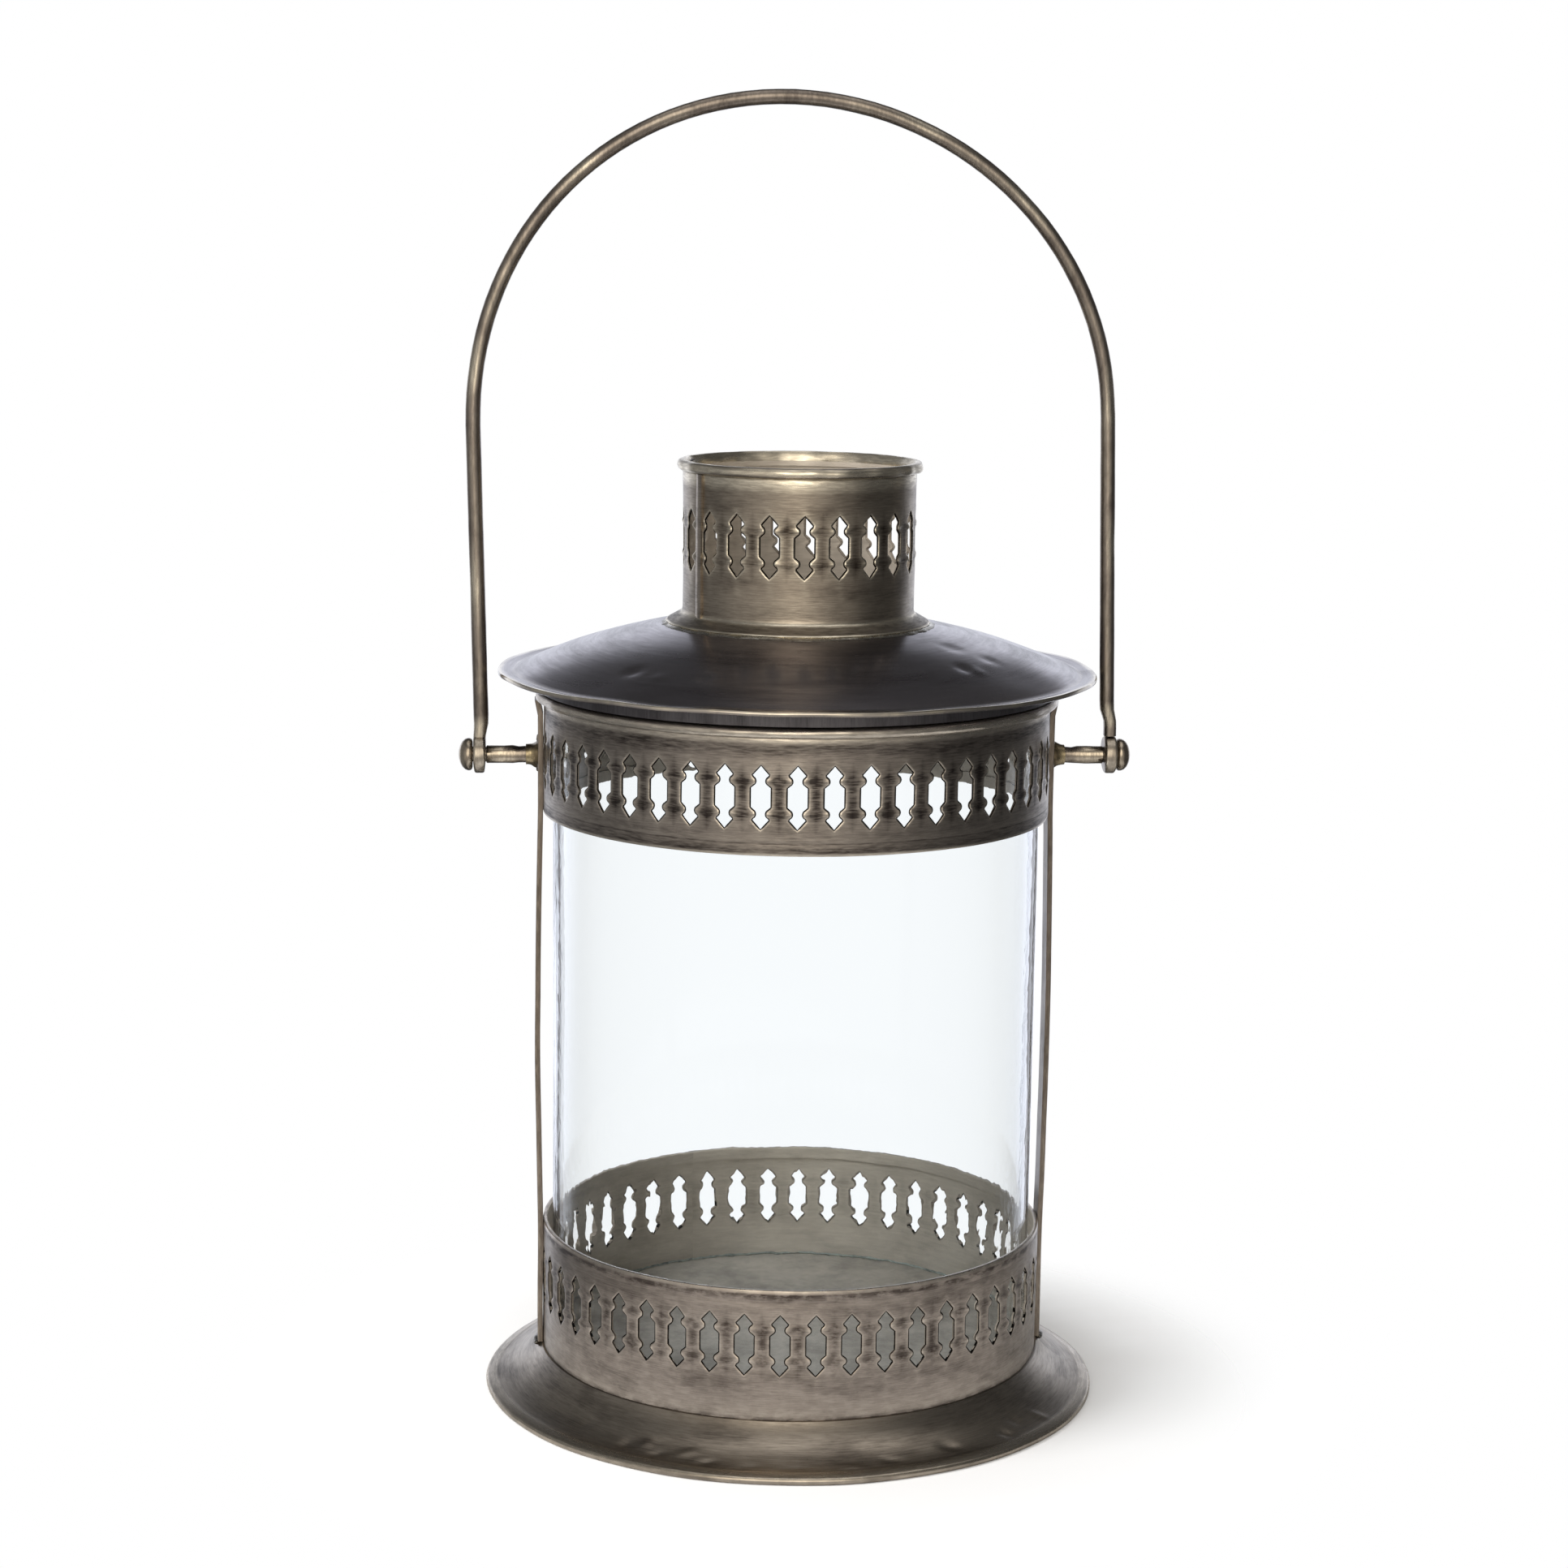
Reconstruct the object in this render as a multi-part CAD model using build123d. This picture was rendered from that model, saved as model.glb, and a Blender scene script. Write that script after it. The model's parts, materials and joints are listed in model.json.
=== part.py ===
from build123d import *
import os
from math import asin, cos, degrees, hypot, pi, radians, sin, sqrt

# Candle lantern: slotted tin bands on two uprights round a loose glass cylinder,
# with a lift-off lid and a swinging bail. Millimetres, +Z up, pins along X,
# origin on the table under the middle of the base.

# Sheet metal
sheet = 0.8              # thickness of all the tin sheet
solder_gap = 0.05        # joint left between two soldered pieces
hem_height = 4.0         # folded safe edge of a band
bead_radius = 1.8        # rolled rim round a wire
wire_gap = 0.05          # wire to the inside of the rolled rim
lap_width = 4.5          # overlap of a rolled sheet's two ends

# Base
base_height = 14.6       # top of the ledge that carries the lower band
ledge_width = 9.0        # ledge, inwards from the outside of the band
ledge_lip = 0.6          # ledge, outwards from the outside of the band
flare_width = 14.7       # flare, outwards from the ledge
flare_sag = 1.9          # hollow of the flare between the ledge and the flange
rim_thickness = 2.4      # hemmed rim that stands on the table
rim_width = 2.4
rim_round = 0.9          # rounding of the rim's outer corners
flange_width = 4.0       # nearly flat ring inside the rim
flange_rise = 0.9        # how much higher that ring's inner edge is than the rim

# Bands
band_radius = 85.0
lower_band_height = 43.5
window_height = 141.8    # clear height between the two bands
upper_band_height = 41.1  # from its lower edge to the top of its rolled rim

# Slots
slot_pitch = 11.6        # from slot to slot round the outside
slot_height = 20.4       # from point to point
slot_width = 6.5         # straight middle part
slot_middle = 6.2        # height of the straight middle part
point_width = 5.4        # arrow-shaped ends
point_height = 3.0       # from an end's widest place to its tip
neck_width = 3.0         # between the round lobes
neck_height = 5.25       # lobes, above and below the slot's middle
lobe_radius = 1.5
lobe_angle = 65.0        # half of the arc that rounds a lobe
lower_slot_rise = 25.1   # slot's middle above the lower band's lower edge
upper_slot_rise = 18.6   # slot's middle above the upper band's lower edge
chimney_slot_rise = 28.0  # slot's middle above the edge of the chimney's flange
lower_slot_turn = -2.3   # degrees from the uprights to the nearest slot
upper_slot_turn = 0.0
chimney_slot_turn = -1.6  # degrees from the front to the nearest slot
lower_seam_turn = 109.0  # degrees from +X
upper_seam_turn = 94.0
chimney_seam_turn = 208.0

# Floor and glass
floor_rise = 3.6         # top of the floor pan above the ledge
pan_round = 1.5
glass_play = 1.25        # glass to the inside of the lid's collar
glass_wall = 3.0
glass_lip_round = 0.9
glass_drop = 5.0         # top of the glass below the top of the upper band's rim

# Uprights
strip_width = 10.0
strip_thickness = 1.5
strip_round = 0.4
foot_solder_radius = 3.2

# Pivot pins
post_radius = 3.0
spigot_radius = 2.5
head_radius = 5.45
head_height = 4.7
head_edge = 1.5          # straight part of the head's side
pin_play = 0.05          # spigot to the wall of the bail's eye
eye_play = 0.25          # eye to the shoulder, and to the head
braze_radius = 4.8
braze_length = 4.2
braze_edge = 0.3         # thickness left where it thins out on the post

# Bail
rod_radius = 2.5
eye_radius = 6.4
eye_thickness = 4.1
eye_tab_width = 4.6      # flattened neck between the eye and the rod
leg_inset = 0.9          # rod's centre line, inwards from the middle of the eye
rod_start = 8.6          # full rod begins this far above the pins
leg_height = 112.2       # straight part of the bail, from the pins to the arch
bail_lean = 1.4          # degrees, towards -X
bail_clearance = 2.7     # lid's edge to the bail's legs, before the lean

# Lid
lid_overhang = 15.2      # lid's edge, outwards from the upper band
lid_rim_lift = 5.3       # underside of the lid's rim above the upper band's rolled rim
lid_rim_thickness = 1.5
lid_hem_width = 3.3
lid_rim_round = 0.5
lid_crease_width = 5.2   # from the rim's edge to the crease where the dome begins
lid_crease_drop = 0.6    # crease below the top of the rim
dome_rise = 17.2         # edge of the flue hole above the crease
dome_crown = 2.1         # bulge of the dome over a straight cone
flue_step = 1.7          # edge of the flue hole, inwards from the chimney's outside
collar_gap = 0.4         # collar's plug to the inside of the upper band
collar_depth = 12.0      # plug below its seat
collar_seat_gap = 0.3    # seat to the top of the rolled rim
collar_seat_width = 3.2

# Chimney
chimney_radius = 38.7
chimney_height = 53.6    # from the edge of its flange to the top of its rolled rim
chimney_flange_width = 5.5
chimney_flange_drop = 3.15
chimney_flange_round = 1.5
chimney_bead_overhang = 2.0
flange_solder_width = 1.4

# Places that follow from the sizes above
band_inner = band_radius - sheet
wire_radius = bead_radius - sheet - wire_gap
lower_top = base_height + lower_band_height
upper_bottom = lower_top + window_height
upper_top = upper_bottom + upper_band_height
upper_bead_place = (band_inner + bead_radius, upper_top - bead_radius)
base_crease_radius = band_radius + ledge_lip + flare_width
base_radius = base_crease_radius + flange_width
floor_top = base_height + floor_rise
collar_outer = band_inner - collar_gap
glass_outer = collar_outer - sheet - glass_play
strip_inner = band_radius + solder_gap
strip_outer = strip_inner + strip_thickness
strip_bottom = base_height + solder_gap
strip_top = upper_top - 2 * bead_radius - solder_gap
pivot_height = upper_bottom + upper_slot_rise
lid_radius = band_radius + lid_overhang
bail_half_span = lid_radius + bail_clearance + rod_radius
eye_middle = bail_half_span + leg_inset
post_start = strip_outer + solder_gap
shoulder = eye_middle - eye_thickness / 2 - eye_play
head_start = eye_middle + eye_thickness / 2 + eye_play
lid_rim_bottom = upper_top + lid_rim_lift
lid_rim_top = lid_rim_bottom + lid_rim_thickness
crease_radius = lid_radius - lid_crease_width
crease_height = lid_rim_top - lid_crease_drop
flue_radius = chimney_radius - flue_step
flange_edge_radius = chimney_radius + chimney_flange_width


def arc_bulge(start, end, sag):
    """Middle point of an arc that stands sag to the left of the chord."""
    chord = hypot(end[0] - start[0], end[1] - start[1])
    across = (-(end[1] - start[1]) / chord, (end[0] - start[0]) / chord)
    return ((start[0] + end[0]) / 2 + sag * across[0], (start[1] + end[1]) / 2 + sag * across[1])


def sheet_face(path, side):
    """Section of a bent sheet: the path is one face of it, the other lies a sheet away."""
    return make_face(offset(path, amount=sheet, kind=Kind.INTERSECTION, side=side))


def block(low, high):
    """Rectangle between two corners."""
    middle = ((low[0] + high[0]) / 2, (low[1] + high[1]) / 2)
    return Pos(*middle) * Rectangle(high[0] - low[0], high[1] - low[1])


def turned(section, angle=360.0):
    """Solid of revolution about Z from a section in radius and height."""
    return revolve(Plane.XZ * section, axis=Axis.Z, revolution_arc=angle)


def turned_on_pin(section):
    """Solid of revolution about the right pin, from a section in X and radius."""
    return Pos(0, 0, pivot_height) * revolve(Plane.XZ * section, axis=Axis.X)


def other_side(shape):
    return mirror(shape, about=Plane.YZ)


def rolled_rim(place):
    return Pos(*place) * Circle(bead_radius)


def rim_bore(place):
    return Pos(*place) * Circle(wire_radius + wire_gap)


def rim_wire(place):
    return turned(Pos(*place) * Circle(wire_radius))


def slot_face():
    """Outline of one slot: straight middle, round-lobed necks and arrow points."""
    tip = (0, slot_height / 2)
    shoulder_point = (point_width / 2, slot_height / 2 - point_height)
    lobe = (neck_width / 2 + lobe_radius, neck_height)
    reach = (lobe_radius * cos(radians(lobe_angle)), lobe_radius * sin(radians(lobe_angle)))
    lobe_over = (lobe[0] - reach[0], lobe[1] + reach[1])
    lobe_tip = (neck_width / 2, neck_height)
    lobe_under = (lobe[0] - reach[0], lobe[1] - reach[1])
    corner = (slot_width / 2, slot_middle / 2)
    quarter = [
        Line(tip, shoulder_point),
        Line(shoulder_point, lobe_over),
        ThreePointArc(lobe_over, lobe_tip, lobe_under),
        Line(lobe_under, corner),
        Line(corner, (slot_width / 2, 0)),
    ]
    half = quarter + [mirror(edge, about=Plane.XZ) for edge in quarter]
    return make_face(half + [mirror(edge, about=Plane.YZ) for edge in half])


def slot_tools(radius, height, turn):
    """Cutters for a row of slots round a tube; turn is the first slot's angle from +X."""
    outline = slot_face()
    count = round(2 * pi * radius / slot_pitch)
    tools = []
    for number in range(count):
        angle = radians(turn + number * 360 / count)
        outwards = (cos(angle), sin(angle), 0)
        along = (-sin(angle), cos(angle), 0)
        middle = (radius * outwards[0], radius * outwards[1], height)
        tools.append(extrude(Plane(middle, along, outwards) * outline, amount=3 * sheet, both=True))
    return tools


def seam_angle(radius, slot_turn, seam_turn):
    """Place between two slots that lies nearest to the wanted angle."""
    step = 360 / round(2 * pi * radius / slot_pitch)
    return slot_turn + (round((seam_turn - slot_turn) / step - 0.5) + 0.5) * step


def lap(radius, bottom, top, angle):
    """Outer end of a rolled sheet, lying over the other end."""
    width = degrees(lap_width / radius)
    strip = turned(block((radius - sheet / 2, bottom), (radius + sheet, top)), width)
    return Rot(0, 0, angle - width / 2) * strip


def skirt_top_path():
    """Upper face of the skirt, from the ledge's inner edge to the rim."""
    ledge_in = (band_radius - ledge_width, base_height)
    ledge_out = (band_radius + ledge_lip, base_height)
    crease = (base_crease_radius, rim_thickness + flange_rise)
    rim = (base_radius - rim_round, rim_thickness)
    ledge = Line(ledge_in, ledge_out)
    flare = ThreePointArc(ledge_out, arc_bulge(ledge_out, crease, -flare_sag), crease)
    return Wire([ledge, flare, Line(crease, rim)])


def base_skirt():
    rim = block((base_radius - rim_width, 0), (base_radius, rim_thickness))
    outer_corners = rim.vertices().group_by(Axis.X)[-1]
    return turned(sheet_face(skirt_top_path(), Side.RIGHT) + fillet(outer_corners, rim_round))


def floor_pan():
    edge = band_inner - solder_gap
    path = FilletPolyline((0, floor_top), (edge, floor_top), (edge, base_height), radius=pan_round)
    return turned(sheet_face(path, Side.RIGHT))


def lower_band():
    wall = block((band_inner, base_height), (band_radius, lower_top))
    hem = block((band_inner - sheet, lower_top - hem_height), (band_radius, lower_top))
    seam = seam_angle(band_radius, lower_slot_turn, lower_seam_turn)
    tube = turned(wall + hem) + lap(band_radius, base_height, lower_top, seam)
    return tube - slot_tools(band_radius, base_height + lower_slot_rise, lower_slot_turn)


def upper_band():
    wall = block((band_inner, upper_bottom), (band_radius, upper_bead_place[1]))
    hem = block((band_inner - sheet, upper_bottom), (band_radius, upper_bottom + hem_height))
    section = wall + hem + rolled_rim(upper_bead_place) - rim_bore(upper_bead_place)
    seam = seam_angle(band_radius, upper_slot_turn, upper_seam_turn)
    tube = turned(section) + lap(band_radius, upper_bottom, strip_top, seam)
    return tube - slot_tools(band_radius, pivot_height, upper_slot_turn)


def glass_cylinder():
    section = block((glass_outer - glass_wall, floor_top), (glass_outer, upper_top - glass_drop))
    lips = section.vertices().group_by(Axis.Y)[-1]
    return turned(fillet(lips, glass_lip_round))


def right_upright():
    strip = Pos((strip_inner + strip_outer) / 2, 0, (strip_bottom + strip_top) / 2) * Box(
        strip_thickness, strip_width, strip_top - strip_bottom
    )
    return fillet(strip.edges().filter_by(Axis.Z).group_by(Axis.X)[-1], strip_round)


def right_foot_solder():
    """Rounded blob in the corner between the upright's outer face and the skirt."""
    path = skirt_top_path()
    under = [Line(path @ 0, (0, base_height)), Line((0, base_height), (0, -base_height))]
    under.append(Line((0, -base_height), ((path @ 1).X, -base_height)))
    under.append(Line(((path @ 1).X, -base_height), path @ 1))
    below_skirt = turned(make_face(path.edges() + under))
    on_base = (Align.CENTER, Align.CENTER, Align.MIN)
    half_ball = Rot(0, 90, 0) * Sphere(foot_solder_radius, arc_size1=0, align=on_base)
    blob = Pos(strip_outer + solder_gap, 0, base_height) * half_ball
    return blob - Pos(0, 0, solder_gap) * below_skirt


def right_pivot_pin():
    head_top = (head_start + head_height, 0)
    head_side = (head_start + head_edge, head_radius)
    cap_height = head_height - head_edge
    cap_radius = (head_radius ** 2 + cap_height ** 2) / (2 * cap_height)
    halfway = asin(head_radius / cap_radius) / 2
    cap_point = (
        head_top[0] - cap_radius * (1 - cos(halfway)),
        cap_radius * sin(halfway),
    )
    outline = Polyline(
        head_top,
        (post_start, 0),
        (post_start, post_radius),
        (shoulder, post_radius),
        (shoulder, spigot_radius),
        (head_start, spigot_radius),
        (head_start, head_radius),
        head_side,
    )
    cap = ThreePointArc(head_side, cap_point, head_top)
    return turned_on_pin(make_face([*outline.edges(), cap]))


def right_pin_braze():
    """Hollow fillet between the upright's outer face and the post."""
    bore = post_radius + solder_gap
    foot = (post_start, braze_radius)
    tip = (post_start + braze_length, bore + braze_edge)
    flare = TangentArc(tip, foot, tangent=(-1, 0))
    outline = Polyline(foot, (post_start, bore), (tip[0], bore), tip)
    return turned_on_pin(make_face([flare, *outline.edges()]))


def bail_point(across, up):
    """Point of the leaning bail, from its own directions about the middle of the pins."""
    lean = radians(bail_lean)
    return Vector(
        across * cos(lean) - up * sin(lean),
        0,
        pivot_height + across * sin(lean) + up * cos(lean),
    )


def leg_start(across):
    """Lower end of a leg's round rod, the same height above the pins on both sides."""
    lean = radians(bail_lean)
    return bail_point(across, (rod_start - across * sin(lean)) / cos(lean))


def bail_eye(side):
    """Flattened end of one leg, bored for the pin's spigot."""
    middle = Pos(side * eye_middle, 0, pivot_height)
    along_pin = Rot(0, 90, 0)
    disc = middle * along_pin * Cylinder(eye_radius, eye_thickness)
    tab_height = rod_start + rod_radius
    tab = middle * Pos(0, 0, tab_height / 2) * Box(eye_thickness, eye_tab_width, tab_height)
    bore = middle * along_pin * Cylinder(spigot_radius + pin_play, 2 * eye_thickness)
    return disc + tab - bore


def bail():
    left = leg_start(-bail_half_span)
    right = leg_start(bail_half_span)
    arch_left = bail_point(-bail_half_span, leg_height)
    arch_right = bail_point(bail_half_span, leg_height)
    crown = bail_point(0, leg_height + bail_half_span)
    path = Wire([
        Line(left, arch_left),
        ThreePointArc(arch_left, crown, arch_right),
        Line(arch_right, right),
    ])
    rod = sweep(Plane(left, z_dir=path % 0) * Circle(rod_radius), path=path)
    return rod + bail_eye(-1) + bail_eye(1)


# The dome's section is an arc from the flue hole out to the crease
flue_edge = (flue_radius, crease_height + dome_rise)
dome_foot = (crease_radius, crease_height)
dome_chord = hypot(crease_radius - flue_radius, dome_rise)
dome_arc_radius = (dome_chord ** 2 / 4 + dome_crown ** 2) / (2 * dome_crown)
dome_top_point = arc_bulge(flue_edge, dome_foot, dome_crown)
dome_centre = arc_bulge(flue_edge, dome_foot, dome_crown - dome_arc_radius)


def dome_height(radius, depth=0.0):
    """Height of the dome's upper face, or of the face that lies depth under it."""
    arc = dome_arc_radius - depth
    return dome_centre[1] + sqrt(arc ** 2 - (radius - dome_centre[0]) ** 2)


flange_edge_top = dome_height(flange_edge_radius) + solder_gap + sheet
chimney_top = flange_edge_top + chimney_height
chimney_bead_place = (
    chimney_radius + chimney_bead_overhang - bead_radius,
    chimney_top - bead_radius,
)


def lid_roof():
    rim = (lid_radius - lid_rim_round, lid_rim_top)
    path = Wire([ThreePointArc(flue_edge, dome_top_point, dome_foot), Line(dome_foot, rim)])
    hem = block((lid_radius - lid_hem_width, lid_rim_bottom), (lid_radius, lid_rim_top))
    outer_corners = hem.vertices().group_by(Axis.X)[-1]
    return turned(sheet_face(path, Side.RIGHT) + fillet(outer_corners, lid_rim_round))


def lid_collar():
    seat = upper_top + collar_seat_gap
    wall = collar_outer + collar_seat_width
    path = Polyline(
        (collar_outer, seat - collar_depth),
        (collar_outer, seat),
        (wall, seat),
        (wall, dome_height(wall, sheet) - solder_gap),
    )
    return turned(sheet_face(path, Side.LEFT))


def chimney():
    path = FilletPolyline(
        (flange_edge_radius, flange_edge_top),
        (chimney_radius, flange_edge_top + chimney_flange_drop),
        (chimney_radius, chimney_bead_place[1]),
        radius=chimney_flange_round,
    )
    section = sheet_face(path, Side.LEFT) + rolled_rim(chimney_bead_place)
    tube = turned(section - rim_bore(chimney_bead_place))
    slot_turn = chimney_slot_turn - 90
    seam = seam_angle(chimney_radius, slot_turn, chimney_seam_turn)
    lap_bottom = flange_edge_top + chimney_flange_drop
    lap_top = chimney_top - 2 * bead_radius
    tube += lap(chimney_radius, lap_bottom, lap_top, seam)
    return tube - slot_tools(chimney_radius, flange_edge_top + chimney_slot_rise, slot_turn)


def chimney_solder():
    inner = flange_edge_radius + solder_gap
    outer = inner + flange_solder_width
    foot = (inner, dome_height(inner) + solder_gap)
    toe = (outer, dome_height(outer) + solder_gap)
    return turned(make_face(Polyline(foot, toe, (inner, flange_edge_top), close=True)))


nodes = {
    "base_skirt": base_skirt(),
    "floor_pan": floor_pan(),
    "lower_band": lower_band(),
    "upper_band": upper_band(),
    "upper_rim_wire": rim_wire(upper_bead_place),
    "glass_cylinder": glass_cylinder(),
    "lid_roof": lid_roof(),
    "lid_collar": lid_collar(),
    "chimney": chimney(),
    "chimney_rim_wire": rim_wire(chimney_bead_place),
    "chimney_solder": chimney_solder(),
    "bail": bail(),
}
pairs = {
    "upright": right_upright(),
    "foot_solder": right_foot_solder(),
    "pivot_pin": right_pivot_pin(),
    "pin_braze": right_pin_braze(),
}
for name, shape in pairs.items():
    nodes["right_" + name] = shape
    nodes["left_" + name] = other_side(shape)

os.makedirs("parts", exist_ok=True)
for name, shape in nodes.items():
    export_step(shape, f"parts/{name}.step")
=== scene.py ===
import json
import math

import bmesh
import bpy
from mathutils import Matrix, Vector, noise


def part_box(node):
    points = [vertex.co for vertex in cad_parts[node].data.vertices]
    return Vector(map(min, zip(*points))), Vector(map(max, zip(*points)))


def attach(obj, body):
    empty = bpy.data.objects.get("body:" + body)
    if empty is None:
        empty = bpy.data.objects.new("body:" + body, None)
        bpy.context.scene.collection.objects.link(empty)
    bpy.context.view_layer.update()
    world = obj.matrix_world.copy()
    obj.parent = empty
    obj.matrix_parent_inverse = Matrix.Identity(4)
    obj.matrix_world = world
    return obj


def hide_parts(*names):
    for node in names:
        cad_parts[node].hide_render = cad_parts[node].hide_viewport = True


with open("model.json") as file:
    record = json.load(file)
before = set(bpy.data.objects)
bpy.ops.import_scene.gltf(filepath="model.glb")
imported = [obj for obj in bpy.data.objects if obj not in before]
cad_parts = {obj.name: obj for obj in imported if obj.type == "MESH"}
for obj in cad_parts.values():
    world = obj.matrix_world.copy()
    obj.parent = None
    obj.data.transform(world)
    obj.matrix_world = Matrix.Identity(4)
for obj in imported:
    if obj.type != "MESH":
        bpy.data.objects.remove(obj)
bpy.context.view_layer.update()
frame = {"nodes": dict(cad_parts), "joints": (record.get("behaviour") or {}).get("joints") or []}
mm = 0.001  # the dictionaries below are in millimetres and degrees

# Places that the frame gives, in metres
pivotHeight = next(joint["pos_m"][2] for joint in frame["joints"] if joint["name"] == "bail_swing")
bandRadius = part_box("lower_band")[1].x
lowerBottom, lowerTop = (corner.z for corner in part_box("lower_band"))
upperBottom, upperTop = (corner.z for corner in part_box("upper_band"))

sheetThickness = 0.8 * mm
mergeDistance = 0.002 * mm  # vertices closer than this become one


def clearSelection():
    if bpy.context.object and bpy.context.object.mode != "OBJECT":
        bpy.ops.object.mode_set(mode="OBJECT")
    bpy.ops.object.select_all(action="DESELECT")


def hold(piece):
    # only this piece is selected and active
    clearSelection()
    piece.select_set(True)
    bpy.context.view_layer.objects.active = piece


def startRing(name, places, wear=0.0, patina=0.0):
    # a circle primitive whose vertices go to the wanted places; each keeps its mark for later rings
    clearSelection()
    bpy.ops.mesh.primitive_circle_add(vertices=len(places), radius=bandRadius)
    piece = bpy.context.object
    piece.name = piece.data.name = name
    bpy.ops.object.mode_set(mode="EDIT")
    rough = bmesh.from_edit_mesh(piece.data)
    for layer in ("wear", "patina"):
        rough.verts.layers.float.new(layer)
    mark = rough.verts.layers.int.new("mark")
    for number, vert in enumerate(rough.verts):
        vert[mark] = number
    bmesh.update_edit_mesh(piece.data)
    setRing(piece, places, wear, patina)
    return piece


def setRing(piece, places, wear=0.0, patina=0.0):
    # moves the selected ring; wear and patina are one number or one for each mark
    rough = bmesh.from_edit_mesh(piece.data)
    mark = rough.verts.layers.int["mark"]
    for vert in rough.verts:
        if not vert.select:
            continue
        vert.co = places[vert[mark]]
        for layer, value in (("wear", wear), ("patina", patina)):
            own = value[vert[mark]] if hasattr(value, "__len__") else value
            vert[rough.verts.layers.float[layer]] = own
    bmesh.update_edit_mesh(piece.data)


def drawRings(name, rings, capped=False):
    # one ring is extruded from place to place, and the piece stays in edit mode
    piece = startRing(name, *rings[0])
    if capped:
        bpy.ops.mesh.edge_face_add()
    for ring in rings[1:]:
        bpy.ops.mesh.extrude_region_move()
        setRing(piece, *ring)
    if capped:
        bpy.ops.mesh.edge_face_add()
    return piece


def ringAt(reach, height, sides):
    turns = [math.tau * number / sides for number in range(sides)]
    return [Vector((reach * math.cos(turn), reach * math.sin(turn), height)) for turn in turns]


def lathe(name, profile, sides, closed=False):
    # profile points are reach, height and an optional wear, in mm; a closed one ends on its first ring
    points = [(*point, 0.0)[:3] for point in profile]
    if closed:
        points.append(points[0])
    rings = [(ringAt(reach * mm, height * mm, sides), wear) for reach, height, wear in points]
    piece = drawRings(name, rings)
    bpy.ops.object.mode_set(mode="OBJECT")
    return piece


def pointsFrom(reach, height, points):
    # profile points that are measured from one place
    return [(reach + out, height + rise, *wear) for out, rise, *wear in points]


def faceOut(piece, inside):
    # doubles are merged and the faces turned away from the inside point
    hold(piece)
    bpy.ops.object.mode_set(mode="EDIT")
    bpy.ops.mesh.select_all(action="SELECT")
    bpy.ops.mesh.remove_doubles(threshold=mergeDistance)
    bpy.ops.mesh.normals_make_consistent(inside=False)
    bpy.ops.object.mode_set(mode="OBJECT")
    look = sum(face.area * face.normal.dot(face.center - inside) for face in piece.data.polygons)
    if look < 0:
        bpy.ops.object.mode_set(mode="EDIT")
        bpy.ops.mesh.select_all(action="SELECT")
        bpy.ops.mesh.flip_normals()
        bpy.ops.object.mode_set(mode="OBJECT")


def useModifier(piece, kind, **settings):
    hold(piece)
    bpy.ops.object.modifier_add(type=kind)
    modifier = piece.modifiers[-1]
    for name, value in settings.items():
        setattr(modifier, name, value)
    bpy.ops.object.modifier_apply(modifier=modifier.name)


def rampUp(value, start, width):
    # 0 up to the start, then rising to 1 over the width
    return min(1, max(0, (value - start) / width))


def awayFromAxis(place):
    return Vector((place.x, place.y, 0)).normalized()


def unsettle(piece, amount, wave, seed, share=None):
    # hand-worked metal is never quite round: moves each vertex in and out by a smooth noise
    start = Vector((seed, 1.7 * seed, 0.3 * seed))  # each seed begins elsewhere in the noise
    for vert in piece.data.vertices:
        swell = noise.noise(vert.co / (wave * mm) + start) * amount * mm
        vert.co += awayFromAxis(vert.co) * swell * (share(vert.co) if share else 1)


def turnFrom(seam, place):
    return (math.atan2(place.y, place.x) - seam) % math.tau


def unrollUv(piece, radius, seam, lead=0.0, radial=False):
    # real metres: round the piece from its seam, and up it or outwards over it
    for spare in list(piece.data.uv_layers):  # the primitive's own map
        piece.data.uv_layers.remove(spare)
    layer = piece.data.uv_layers.new(name="unrolled")
    for face in piece.data.polygons:
        middle = turnFrom(seam, face.center)
        for corner in face.loop_indices:
            place = piece.data.vertices[piece.data.loops[corner].vertex_index].co
            turn = turnFrom(seam, place)
            turn -= round((turn - middle) / math.tau) * math.tau  # a face on the seam stays whole
            up = math.hypot(place.x, place.y) if radial else place.z
            layer.data[corner].uv = ((turn + lead) * radius, up)


def joinPieces(pieces, name):
    hold(pieces[0])
    for piece in pieces[1:]:
        piece.select_set(True)
    bpy.ops.object.join()
    pieces[0].name = pieces[0].data.name = name
    return pieces[0]


def finishPiece(piece, material, body, nodes, edge=40):
    # edges that turn by more degrees than edge stay sharp
    hold(piece)
    bpy.ops.object.shade_smooth_by_angle(angle=math.radians(edge))
    if "mark" in piece.data.attributes:
        piece.data.attributes.remove(piece.data.attributes["mark"])
    if not piece.data.materials:
        piece.data.materials.append(material)
    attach(piece, body)
    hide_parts(*nodes)
    print("made", piece.name, len(piece.data.polygons), "faces")


# Materials

def hexColour(code):
    # sRGB hex to the linear values that the sockets hold
    parts = [int(code[start:start + 2], 16) / 255 for start in (1, 3, 5)]
    return (*[part / 12.92 if part <= 0.04045 else ((part + 0.055) / 1.055) ** 2.4 for part in parts], 1.0)


def addNode(tree, kind, inputs=(), **settings):
    # one node with its settings; an input is a plain value or another node's output
    node = tree.nodes.new(kind)
    for name, value in settings.items():
        setattr(node, name, value)
    for socket, value in dict(inputs).items():
        if isinstance(value, bpy.types.NodeSocket):
            tree.links.new(value, node.inputs[socket])
        else:
            node.inputs[socket].default_value = value
    return node


def newMaterial(name):
    material = bpy.data.materials.new(name)
    material.use_nodes = True
    material.node_tree.nodes.clear()
    return material, material.node_tree


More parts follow.
